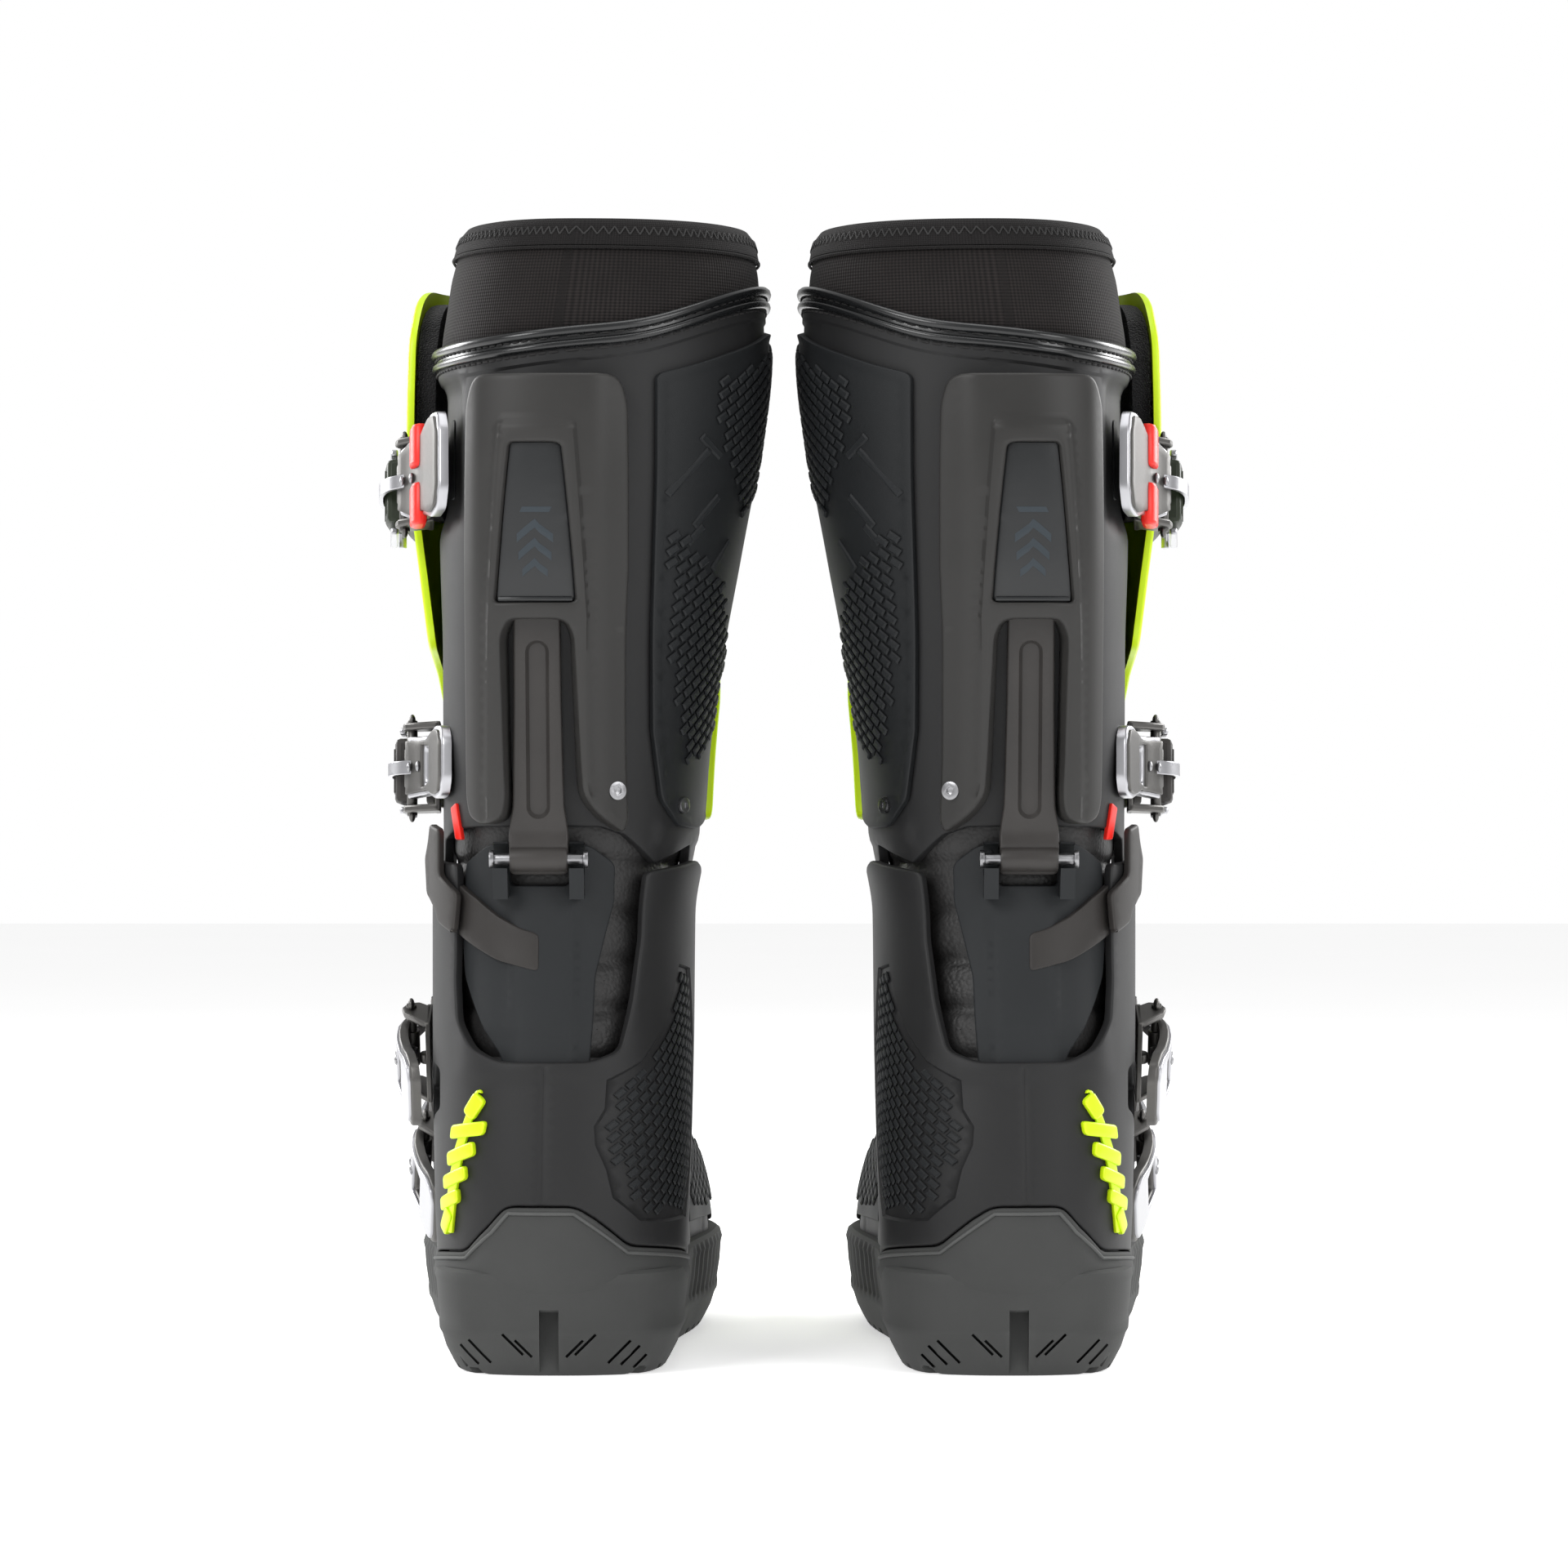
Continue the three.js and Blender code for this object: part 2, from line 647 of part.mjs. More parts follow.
// ---- the pair ----
const pair = new THREE.Group();
for (const side of ["left", "right"]) {
  const one = boot.clone();
  one.children.forEach((mesh) => {
    mesh.name = `${side}_${mesh.name}`;
  });
  one.scale.x = side === "left" ? 1 : -1;
  one.position.x = (side === "left" ? -1 : 1) * (BOOT_SPACING / 2);
  pair.add(one);
}
pair.updateMatrixWorld(true);
const centre = new THREE.Box3().setFromObject(pair).getCenter(new THREE.Vector3());
pair.children.forEach((one) => {
  one.position.y -= centre.y;
});

export default pair;
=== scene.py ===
"""A pair of motocross riding boots, modelled piece by piece round their fixed engineering frame."""

import math

import bmesh
import bpy
import numpy as np
from mathutils import Matrix, Vector
from mathutils.geometry import delaunay_2d_cdt


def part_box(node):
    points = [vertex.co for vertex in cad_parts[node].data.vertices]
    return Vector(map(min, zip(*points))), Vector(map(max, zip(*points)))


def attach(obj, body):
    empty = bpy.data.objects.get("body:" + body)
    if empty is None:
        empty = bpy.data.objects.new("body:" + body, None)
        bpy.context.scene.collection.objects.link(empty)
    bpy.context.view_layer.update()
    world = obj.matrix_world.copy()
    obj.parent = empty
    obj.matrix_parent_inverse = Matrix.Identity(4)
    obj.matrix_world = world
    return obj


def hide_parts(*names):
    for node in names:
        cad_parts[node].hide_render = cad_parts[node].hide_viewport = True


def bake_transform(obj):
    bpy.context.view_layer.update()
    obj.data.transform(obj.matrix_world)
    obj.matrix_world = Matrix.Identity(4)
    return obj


bl_info = {
    "name": "Riding Boots",
    "version": (1, 0, 0),
    "blender": (4, 5, 0),
    "location": "View3D > Sidebar > Riding Boots",
    "description": "Models a pair of off-road riding boots round their engineering frame",
    "category": "Object",
}

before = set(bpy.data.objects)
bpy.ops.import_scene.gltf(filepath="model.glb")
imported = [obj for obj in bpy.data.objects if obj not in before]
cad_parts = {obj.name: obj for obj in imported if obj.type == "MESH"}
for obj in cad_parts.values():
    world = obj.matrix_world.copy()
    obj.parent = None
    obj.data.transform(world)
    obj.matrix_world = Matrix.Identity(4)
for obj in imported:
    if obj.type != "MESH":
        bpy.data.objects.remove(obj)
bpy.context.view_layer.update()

# ---- one boot's own frame: millimetres, x to the inside of the leg, y heel to toe, z up ----
MM = 0.001
SIDES = ("left", "right")
PIN_LOW, PIN_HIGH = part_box("left_spine_pin")
PIN = (-7.0, 13.0, 192.0)
HEEL_X = (PIN_LOW.x + PIN_HIGH.x) / 2 - PIN[0] * MM
HEEL_Y = (PIN_LOW.y + PIN_HIGH.y) / 2 - PIN[1] * MM

# Leg stations: height, outer side, inner side, back, front, x of the back's crest, y of the widest part.
LEG = np.array([
    [22, -42, 42, 3, 150, 0, 68],
    [60, -44, 44, 0, 155, -1, 70],
    [120, -45.5, 45.5, 9, 176, -2.5, 79],
    [170, -46, 46, 20, 158, -5, 85],
    [200, -46, 51, 17, 145, -6, 83],
    [232, -46, 54, 10.5, 143, -7, 81],
    [268, -46, 59, 2.5, 147, -7, 80],
    [306, -47, 66, -5, 152, -5, 80],
    [346, -47.5, 73, -8, 157, -2, 80],
    [385, -47, 77, -6, 158, 2, 80],
    [410, -44, 76, -1, 154, 5, 79],
    [432, -38, 72, 6, 148, 8, 78],
])
# Foot stations: distance from the heel, outer side, inner side, top.
FOOT = np.array([
    [60, -42, 42, 108],
    [115, -45, 43, 138],
    [145, -49, 45, 139],
    [175, -54, 49, 122],
    [215, -57.5, 54, 99],
    [262, -53, 51, 82],
    [288, -42, 42, 72],
    [302, -30, 32, 63],
    [311, -17, 19, 54],
    [315.5, -6, 8, 42],
])
FOOT_BASE = 22.0
FOOT_MIDDLE, FOOT_HALF = 160.0, 156.0
LEG_POWER = 0.84  # 1 would make the leg's rings ellipses, and less makes them squarer
FOOT_POWER = 0.75
SHELL_WALL = 3.5
GIRTH = 55.0  # turns an angle round the boot into a length in millimetres


def eased(table, at):
    """The table's other columns at the places in its first, on smooth curves that never overshoot."""
    x, rows = table[:, 0], table[:, 1:]
    at = np.clip(np.asarray(at, float), x[0], x[-1])
    step = np.diff(x)[:, None]
    rise = np.diff(rows, axis=0) / step
    slope = np.zeros_like(rows)
    slope[0], slope[-1] = rise[0], rise[-1]
    same = rise[:-1] * rise[1:] > 0
    with np.errstate(divide="ignore", invalid="ignore"):
        mean = 2 * rise[:-1] * rise[1:] / (rise[:-1] + rise[1:])
    slope[1:-1] = np.where(same, mean, 0)
    i = np.clip(np.searchsorted(x, at, side="right") - 1, 0, len(x) - 2)
    t = ((at - x[i]) / step[i, 0])[:, None]
    h = step[i]
    a, b, c, d = 2 * t**3 - 3 * t**2 + 1, t**3 - 2 * t**2 + t, -2 * t**3 + 3 * t**2, t**3 - t**2
    return (a * rows[i] + b * h * slope[i] + c * rows[i + 1] + d * h * slope[i + 1]).T


def powered(value, power):
    return np.sign(value) * np.abs(value) ** power


def smooth_step(value, low, high):
    t = np.clip((value - low) / (high - low), 0, 1)
    return t * t * (3 - 2 * t)


def between(value, low, full, fall, high):
    """0 outside low and high, 1 from full to fall, and smooth between."""
    return smooth_step(value, low, full) * (1 - smooth_step(value, fall, high))


def no_flare(z):
    return np.zeros_like(z)


def shin_flare(z):
    """How far the shin plate stands away from the cuff on the outer side."""
    return np.interp(z, [206, 262, 300, 340, 411], [1, 1, 4.5, 9, 9])


class Shaft:
    """The leg's surface: u is the turn from the back times GIRTH, v the height."""

    def __init__(self, flare=no_flare):
        self.flare = flare

    def reach(self, z, layer):
        outer, inner, back, front, crest, widest = eased(LEG, z)
        sideways = outer - crest - layer, inner - crest + layer
        lengthways = widest - back + layer, front - widest + layer
        return *sideways, *lengthways, crest, widest

    def point(self, u, v, layer):
        turn = np.asarray(u, float) / GIRTH
        v = np.asarray(v, float)
        s, f = np.sin(turn), -np.cos(turn)
        extra = np.where(s < 0, self.flare(v) * s**2, 0)
        outer, inner, back, front, crest, widest = self.reach(v, layer)
        x = crest + np.where(s > 0, inner, -outer + extra) * powered(s, LEG_POWER)
        y = widest + np.where(f > 0, front + extra, back + extra) * powered(f, LEG_POWER)
        return np.stack([x, y, v], 1)

    def behind(self, x, z, layer=0.0):
        """The chart point seen from behind at x and z."""
        outer, inner, _, _, crest, _ = (float(a[0]) for a in self.reach(np.array([z]), layer))
        share = (x - crest) / (inner if x > crest else -outer)
        share = max(-1.0, min(1.0, share))
        return math.asin(float(powered(share, 1 / LEG_POWER))) * GIRTH, z

    def beside(self, y, z, side, layer=0.0, round_front=False):
        """The chart point seen from the side at y and z: side is 1 on the inner side, -1 on the outer."""
        _, _, back, front, _, widest = (float(a[0]) for a in self.reach(np.array([z]), layer))
        share = (y - widest) / (front if y > widest else back)
        share = max(-1.0, min(1.0, share))
        turn = math.acos(-float(powered(share, 1 / LEG_POWER)))
        if side < 0:
            turn = 2 * math.pi - turn if round_front else -turn
        return turn * GIRTH, z


def inside_leg(p, layer):
    """Below 1 inside the leg grown by layer."""
    outer, inner, back, front, crest, widest = eased(LEG, p[:, 2])
    dx, dy = p[:, 0] - crest, p[:, 1] - widest
    rx = np.where(dx > 0, inner - crest, crest - outer) + layer
    ry = np.where(dy > 0, front - widest, widest - back) + layer
    power = 2 / LEG_POWER
    return (np.abs(dx / rx) ** power + np.abs(dy / ry) ** power) ** (1 / power)


def inside_foot(p, layer):
    """Below 1 inside the foot grown by layer."""
    y = FOOT_MIDDLE + (p[:, 1] - FOOT_MIDDLE) / (1 + layer / FOOT_HALF)
    outer, inner, top = eased(FOOT, y)
    base = FOOT_BASE - layer
    rx = np.maximum(1, np.where(p[:, 0] > 0, inner, -outer) + layer)
    rz = top + layer - base
    power = 2 / FOOT_POWER
    up = np.maximum(0, p[:, 2] - base) / rz
    value = (np.abs(p[:, 0] / rx) ** power + up**power) ** (1 / power)
    beyond = np.maximum(0, np.maximum(y - FOOT[-1, 0], FOOT[0, 0] - y)) / 10
    return value + beyond


def inside_last(p, layer):
    a, b = inside_leg(p, layer), inside_foot(p, layer)
    soft = 0.05
    h = np.clip(0.5 + 0.5 * (b - a) / soft, 0, 1)
    return b + (a - b) * h - soft * h * (1 - h)


def cast(start, step, far, layer):
    """Where rays leave the last grown by layer: from start along step, no further than far."""
    low, high = np.zeros(len(start)), np.full(len(start), float(far))
    for _ in range(26):
        middle = (low + high) / 2
        out = inside_last(start + step * middle[:, None], layer) > 1
        high = np.where(out, middle, high)
        low = np.where(out, low, middle)
    return start + step * low[:, None]


class Last:
    """Leg and foot together, reached by level rays from an upright axis.

    u is the angle times GIRTH, v the height."""

    axis_y = 80.0

    def point(self, u, v, layer):
        turn = np.asarray(u, float) / GIRTH
        v = np.asarray(v, float)
        layer = np.broadcast_to(np.asarray(layer, float), v.shape)
        start = np.stack([np.zeros_like(v), np.full_like(v, self.axis_y), v], 1)
        step = np.stack([np.sin(turn), -np.cos(turn), np.zeros_like(v)], 1)
        return cast(start, step, 260, layer)

    def locate(self, start, step, layer):
        hit = cast(np.array([start], float), np.array([step], float), 260, np.array([layer]))[0]
        turn = math.atan2(hit[0], self.axis_y - hit[1])
        return turn * GIRTH, hit[2]

    def behind(self, x, z, layer=0.0):
        return self.locate((x, self.axis_y, z), (0, -1, 0), layer)

    def beside(self, y, z, side, layer=0.0):
        return self.locate((0, y, z), (side, 0, 0), layer)


class Sections:
    """The foot's upper surface by upright sections.

    u is the distance from the heel, v the angle over the top times GIRTH."""

    axis_z = 30.0

    def point(self, u, v, layer):
        u = np.asarray(u, float)
        turn = np.asarray(v, float) / GIRTH
        layer = np.broadcast_to(np.asarray(layer, float), u.shape)
        start = np.stack([np.zeros_like(u), u, np.full_like(u, self.axis_z)], 1)
        step = np.stack([-np.cos(turn), np.zeros_like(u), np.sin(turn)], 1)
        return cast(start, step, 200, layer)

    def beside(self, y, z, side, layer=0.0):
        start, step = np.array([[0, y, z]], float), np.array([[side, 0, 0]], float)
        hit = cast(start, step, 200, np.array([layer]))[0]
        turn = math.atan2(z - self.axis_z, -hit[0])
        if turn < -math.pi / 2:
            turn += 2 * math.pi
        return y, turn * GIRTH


class Plane:
    """A flat or bent plate: u runs across it and v along it, and bow(u, v) is how far it rises."""

    def __init__(self, origin, across, along, out, bow=None):
        self.origin, self.across = np.array(origin, float), np.array(across, float)
        self.along, self.out = np.array(along, float), np.array(out, float)
        self.bow = bow or (lambda u, v: 0 * v)

    def point(self, u, v, layer):
        u, v = np.asarray(u, float), np.asarray(v, float)
        height = layer + self.bow(u, v)
        return self.origin + u[:, None] * self.across + v[:, None] * self.along + height[:, None] * self.out


SHAFT = Shaft()
SHIN = Shaft(shin_flare)
LAST = Last()
FOOT_TOP = Sections()


# ---- outlines ----
def dense(loop, cell, closed=True):
    """The same line with points no further apart than cell."""
    made = []
    loop = [tuple(p) for p in loop]
    for a, b in zip(loop, loop[1:] + loop[:1] if closed else loop[1:]):
        pieces = max(1, round(math.dist(a, b) / cell))
        for i in range(pieces):
            made.append((a[0] + (b[0] - a[0]) * i / pieces, a[1] + (b[1] - a[1]) * i / pieces))
    if not closed:
        made.append(loop[-1])
    return made


def rounded(loop, radius, steps=4):
    """The closed outline with each corner turned on a curve."""
    made = []
    count = len(loop)
    for i in range(count):
        before, corner, after = (Vector(loop[(i + k) % count]) for k in (-1, 0, 1))
        a, b = before - corner, after - corner
        reach = min(radius, 0.45 * a.length, 0.45 * b.length)
        if reach < 0.05 or a.angle(b, math.pi) > math.radians(172):
            made.append(tuple(corner))
            continue
        start, end = corner + a.normalized() * reach, corner + b.normalized() * reach
        for k in range(steps + 1):
            t = k / steps
            made.append(tuple(start * (1 - t) ** 2 + corner * 2 * t * (1 - t) + end * t**2))
    return made


def area_of(loop):
    return sum(a[0] * b[1] - b[0] * a[1] for a, b in zip(loop, loop[1:] + loop[:1])) / 2


def corners_cut(points, following):
    """Two points on each span, a quarter in from its ends, which rounds a line a little."""
    return np.stack([points * 0.75 + following * 0.25, points * 0.25 + following * 0.75], 1).reshape(-1, 2)


def moved_in(loop, by):
    """The closed outline moved to the inside by a small distance, or outwards if by is negative."""
    points = np.array(loop, float)
    if area_of(loop) < 0:
        by = -by
    ahead, behind = np.roll(points, -1, 0) - points, points - np.roll(points, 1, 0)
    normal = np.stack([-(ahead[:, 1] + behind[:, 1]), ahead[:, 0] + behind[:, 0]], 1)
    lengths = np.linalg.norm(normal, axis=1)
    normal /= np.maximum(lengths, 1e-9)[:, None]
    return [tuple(p) for p in points + normal * by]


def within(points, loop):
    """Which points lie inside the closed outline."""
    points, loop = np.asarray(points, float), np.asarray(loop, float)
    inside = np.zeros(len(points), bool)
    for a, b in zip(loop, np.roll(loop, -1, 0)):
        if a[1] == b[1]:
            continue
        crosses = (a[1] > points[:, 1]) != (b[1] > points[:, 1])
        at = a[0] + (points[:, 1] - a[1]) * (b[0] - a[0]) / (b[1] - a[1])
        inside ^= crosses & (points[:, 0] < at)
    return inside


def distance_to(points, loop, closed=True):
    """Each point's distance from an outline."""
    points, loop = np.asarray(points, float), np.asarray(loop, float)
    best = np.full(len(points), 1e9)
    ends = np.roll(loop, -1, 0) if closed else loop[1:]
    for a, b in zip(loop, ends):
        d = b - a
        t = np.clip(((points - a) @ d) / max(d @ d, 1e-9), 0, 1)
        best = np.minimum(best, np.linalg.norm(points - a - t[:, None] * d, axis=1))
    return best


# ---- meshes ----
class Built:
    """Vertices in millimetres, faces and chart coordinates, gathered before they become an object."""

    def __init__(self):
        self.verts, self.faces, self.chart, self.slots = [], [], [], []

    def add(self, verts, faces, chart=None, slot=0):
        start = len(self.verts)
        self.verts.extend(tuple(map(float, v)) for v in verts)
        self.faces.extend(tuple(start + i for i in f) for f in faces)
        self.slots.extend([slot] * len(faces))
        self.chart.extend(chart if chart is not None else [(v[0], v[2]) for v in verts])
        return self

    def join(self, other, slot=0):
        return self.add(other.verts, other.faces, other.chart, slot)


def panel(chart, outline, inner, outer, cell=3.0, rim=0.8, corner=0.0, holes=(), lines=(), relief=None,
          fine=None):
    """A shell piece of the chart's surface between two layers, with a rolled rim.

    relief(u, v) adds to the outer layer, lines are places where it changes sharply,
    and fine is the spacing of points along outlines and lines."""
    fine = fine or min(cell, 2.0)
    relief = relief or (lambda u, v: 0 * u)
    outline = dense(rounded(outline, corner) if corner else outline, fine)
    holes = [dense(rounded(h, min(corner, 2)) if corner else h, fine) for h in holes]
    loops = [moved_in(outline, rim)] + [moved_in(h, -rim) for h in holes]
    extra = [dense(line, fine, closed=False) for line in lines]
    low, high = np.min(loops[0], 0), np.max(loops[0], 0)
    grid = []
    for row, v in enumerate(np.arange(low[1], high[1], cell * 0.87)):
        grid += [(u + (row % 2) * cell / 2, v) for u in np.arange(low[0], high[0], cell)]
    grid = np.array(grid) if grid else np.zeros((0, 2))
    keep = within(grid, loops[0])
    for loop in loops:
        keep &= distance_to(grid, loop) > 0.55 * cell
    for hole in loops[1:]:
        keep &= ~within(grid, hole)
    for line in extra:
        keep &= distance_to(grid, line, closed=False) > 0.45 * fine
    points, edges = [], []
    for loop in loops:
        start = len(points)
        points += loop
        edges += [(start + i, start + (i + 1) % len(loop)) for i in range(len(loop))]
    for line in extra:
        mask = within(line, loops[0]) & (distance_to(line, loops[0]) > 0.3)
        for hole in loops[1:]:
            mask &= ~within(line, hole) & (distance_to(line, hole) > 0.3)
        for a, b, ok in zip(range(len(line)), range(1, len(line)), mask[:-1] & mask[1:]):
            if ok:
                start = len(points)
                points += [line[a], line[b]]
                edges.append((start, start + 1))
    points += [tuple(p) for p in grid[keep]]
    flat, _, triangles, *_ = delaunay_2d_cdt([Vector(p) for p in points], edges, [], 0, 1e-4)
    flat = np.array([tuple(p) for p in flat])
    triangles = np.array([tuple(t) for t in triangles])
    centres = flat[triangles].mean(1)
    inside = within(centres, loops[0])
    for hole in loops[1:]:
        inside &= ~within(centres, hole)
    triangles = triangles[inside]
    used = np.unique(triangles)
    number = np.full(len(flat), -1)
    number[used] = np.arange(len(used))
    flat, triangles = flat[used], number[triangles]

    seen = {}
    for t in triangles:
        for a, b in ((t[0], t[1]), (t[1], t[2]), (t[2], t[0])):
            seen[(a, b)] = True
    border = [(a, b) for a, b in seen if (b, a) not in seen]
    normal = np.zeros_like(flat)
    for a, b in border:
        d = flat[b] - flat[a]
        n = np.array([d[1], -d[0]]) / max(np.linalg.norm(d), 1e-9)
        normal[a] += n
        normal[b] += n
    rim_verts = sorted({a for edge in border for a in edge})
    lengths = np.maximum(np.linalg.norm(normal[rim_verts], axis=1), 1e-9)
    direction = normal[rim_verts] / lengths[:, None]
    place = {v: i for i, v in enumerate(rim_verts)}
    at_rim = flat[rim_verts]

    outer_layer = outer + relief(flat[:, 0], flat[:, 1])
    rim_layer = outer + relief(at_rim[:, 0], at_rim[:, 1])
    charts, layers = [flat], [outer_layer]
    steps = (0.5, 0.85, 1.0) if rim > 0.3 else (1.0,)
    for share in steps:
        charts.append(at_rim + direction * rim * share)
        layers.append(rim_layer - rim * (1 - math.sqrt(max(0, 1 - share**2))))
    charts += [at_rim + direction * rim, flat]
    layers += [np.full(len(at_rim), float(inner)), np.full(len(flat), float(inner))]
    starts = np.cumsum([0] + [len(c) for c in charts])
    faces = [tuple(t) for t in triangles]
    rings = [lambda v: v] + [
        (lambda v, s=starts[k + 1]: s + place[v]) for k in range(len(steps) + 1)
    ] + [lambda v, s=starts[len(steps) + 2]: s + v]
    for near, far in zip(rings, rings[1:]):
        faces += [(near(b), near(a), far(a), far(b)) for a, b in border]
    faces += [tuple(starts[len(steps) + 2] + i for i in reversed(t)) for t in triangles]
    charts, layers = np.concatenate(charts), np.concatenate(layers)
    verts = chart.point(charts[:, 0], charts[:, 1], layers)
    made = Built()
    made.add(verts, faces, [tuple(c) for c in charts])
    return made


def tube(path, radius, sides=8, closed=False, flat=1.0):
    """A rod round a line of points; flat squeezes it in height."""
    path = np.array(path, float)
    ahead = np.roll(path, -1, 0) - np.roll(path, 1, 0)
    if not closed:
        ahead[0], ahead[-1] = path[1] - path[0], path[-1] - path[-2]
    ahead /= np.linalg.norm(ahead, axis=1)[:, None]
    up = np.array([0, 0, 1.0])
    made, count = [], len(path)
    for p, d in zip(path, ahead):
        side = np.cross(d, up)
        if np.linalg.norm(side) < 0.2:
            side = np.cross(d, np.array([0, 1.0, 0]))
        side /= np.linalg.norm(side)
        over = np.cross(side, d)
        for k in range(sides):
            a = 2 * math.pi * k / sides
            made.append(p + radius * (math.cos(a) * side + flat * math.sin(a) * over))
    faces = []
    for i in range(count if closed else count - 1):
        j = (i + 1) % count
        for k in range(sides):
            m = (k + 1) % sides
            faces.append((i * sides + k, i * sides + m, j * sides + m, j * sides + k))
    if not closed:
        faces.append(tuple(reversed(range(sides))))
        faces.append(tuple((count - 1) * sides + k for k in range(sides)))
    return Built().add(made, faces)


def ring_faces(rings, count):
    """Faces between rings of count points, the last ring joined to the first."""
    faces = []
    for i in range(rings):
        j = (i + 1) % rings
        for k in range(count):
            m = (k + 1) % count
            faces.append((i * count + k, i * count + m, j * count + m, j * count + k))
    return faces


def sleeve(turns, profile):
    """A ring round the leg with a closed profile of heights and layers."""
    verts, chart = [], []
    for height, layer in profile:
        z = np.full(len(turns), height) if np.isscalar(height) else height
        verts += list(SHAFT.point(turns, z, layer))
        chart += list(zip(turns, z))
    return Built().add(verts, ring_faces(len(profile), len(turns)), chart)


def prism_faces(count):
    """The faces of a prism whose two ends have count points each."""
    faces = [tuple(range(count)), tuple(reversed(range(count, 2 * count)))]
    faces += [(k, (k + 1) % count, count + (k + 1) % count, count + k) for k in range(count)]
    return faces


def cuboid(place, sizes, bevel=0.0):
    """A block with chamfered edges: place turns (a, b, c) into a point, sizes are its three spans."""
    (a0, a1), (b0, b1), (c0, c1) = sizes
    r = bevel
    corners = []
    for a, sa in ((a0, 1), (a1, -1)):
        for b, sb in ((b0, 1), (b1, -1)):
            corners.append((a + sa * r * 0.5, b + sb * r * 0.5, c0))
            corners.append((a + sa * 0, b + sb * 0, c1 - r))
            corners.append((a + sa * r, b + sb * r, c1))
    order = (0, 1, 3, 2)
    faces = [tuple(3 * i + 2 for i in order)]
    faces.append(tuple(3 * i for i in reversed(order)))
    for i, j in zip(order, order[1:] + order[:1]):
        faces.append((3 * i, 3 * j, 3 * j + 1, 3 * i + 1))
        faces.append((3 * i + 1, 3 * j + 1, 3 * j + 2, 3 * i + 2))
    return [place(*c) for c in corners], faces


def object_of(name, built, angle=35.0):
    """A mesh object in millimetres, with its chart as a UV map and smooth shading up to an angle."""
    mesh = bpy.data.meshes.new(name)
    mesh.from_pydata(built.verts, [], built.faces)
    layer = mesh.uv_layers.new(name="Chart")
    vertex = np.zeros(len(mesh.loops), np.int32)
    mesh.loops.foreach_get("vertex_index", vertex)
    layer.data.foreach_set("uv", (np.array(built.chart, np.float32)[vertex] * MM).ravel())
    mesh.polygons.foreach_set("material_index", np.array(built.slots, np.int32))
    work = bmesh.new()
    work.from_mesh(mesh)
    bmesh.ops.recalc_face_normals(work, faces=work.faces)
    work.to_mesh(mesh)
    work.free()
    made = bpy.data.objects.new(name, mesh)
    bpy.context.scene.collection.objects.link(made)
    smooth(made, angle)
    return made


def choose(obj):
    bpy.ops.object.select_all(action="DESELECT")
    obj.select_set(True)
    bpy.context.view_layer.objects.active = obj


def smooth(obj, angle=35.0):
    choose(obj)
    bpy.ops.object.shade_smooth_by_angle(angle=math.radians(angle))


def to_row(obj, side):
    """Moves a piece from the left boot's millimetres to its place; the right boot's is mirrored."""
    mesh = obj.data
    mesh.transform(Matrix.Translation((HEEL_X, HEEL_Y, 0)) @ Matrix.Scale(MM, 4))
    if side == "right":
        mesh.transform(Matrix.Scale(-1, 4, (1, 0, 0)))
        mesh.flip_normals()
    mesh.update()


def pair(name, obj, materials, body=None, replaces=(), blend=None, then=None):
    """Puts a piece on both boots: body and replaces are names without their side."""
    twin = obj.copy()
    twin.data = obj.data.copy()
    bpy.context.scene.collection.objects.link(twin)
    for side, made in zip(SIDES, (obj, twin)):
        taken = f"{side}_{name}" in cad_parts
        made.name = made.data.name = f"{side}_{name}_finished" if taken else f"{side}_{name}"
        made.data.materials.clear()
        for material in materials:
            made.data.materials.append(material)
        to_row(made, side)
        if blend:
            lower, upper, start, end = blend
            sign = 1 if side == "left" else -1
            ends = [
                (sign * (HEEL_X + x * MM), HEEL_Y + y * MM, z * MM) for x, y, z in (start, end)
            ]
            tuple(ends[0])
            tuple(ends[1])
            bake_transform(made)
        else:
            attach(made, f"{side}_{body}")
        if replaces:
            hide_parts(*[f"{side}_{node}" for node in replaces])
        if then:
            then(made)
    return obj, twin


# ---- shared effects, as shader node groups ----
def new_group(name, inputs, outputs):
    group = bpy.data.node_groups.new(name, "ShaderNodeTree")
    for label, kind, value in inputs:
        socket = group.interface.new_socket(name=label, in_out="INPUT", socket_type=kind)
        if value is not None:
            socket.default_value = value
    for label, kind in outputs:
        group.interface.new_socket(name=label, in_out="OUTPUT", socket_type=kind)
    return group, group.nodes.new("NodeGroupInput"), group.nodes.new("NodeGroupOutput")


FLOAT, COLOR = "NodeSocketFloat", "NodeSocketColor"


def math_node(tree, operation, a, b=None):
    made = tree.nodes.new("ShaderNodeMath")
    made.operation = operation
    for i, value in enumerate((a, b)):
        if value is None:
            continue
        if isinstance(value, (int, float)):
            made.inputs[i].default_value = value
        else:
            tree.links.new(value, made.inputs[i])
    return made.outputs[0]


def noise_node(tree, vector, scale, detail=3.0, roughness=0.55):
    made = tree.nodes.new("ShaderNodeTexNoise")
    made.inputs["Detail"].default_value = detail
    made.inputs["Roughness"].default_value = roughness
    tree.links.new(vector, made.inputs["Vector"])
    if isinstance(scale, (int, float)):
        made.inputs["Scale"].default_value = scale
    else:
        tree.links.new(scale, made.inputs["Scale"])
    return made.outputs["Fac"]


def object_coordinates(tree):
    return tree.nodes.new("ShaderNodeTexCoord").outputs["Object"]


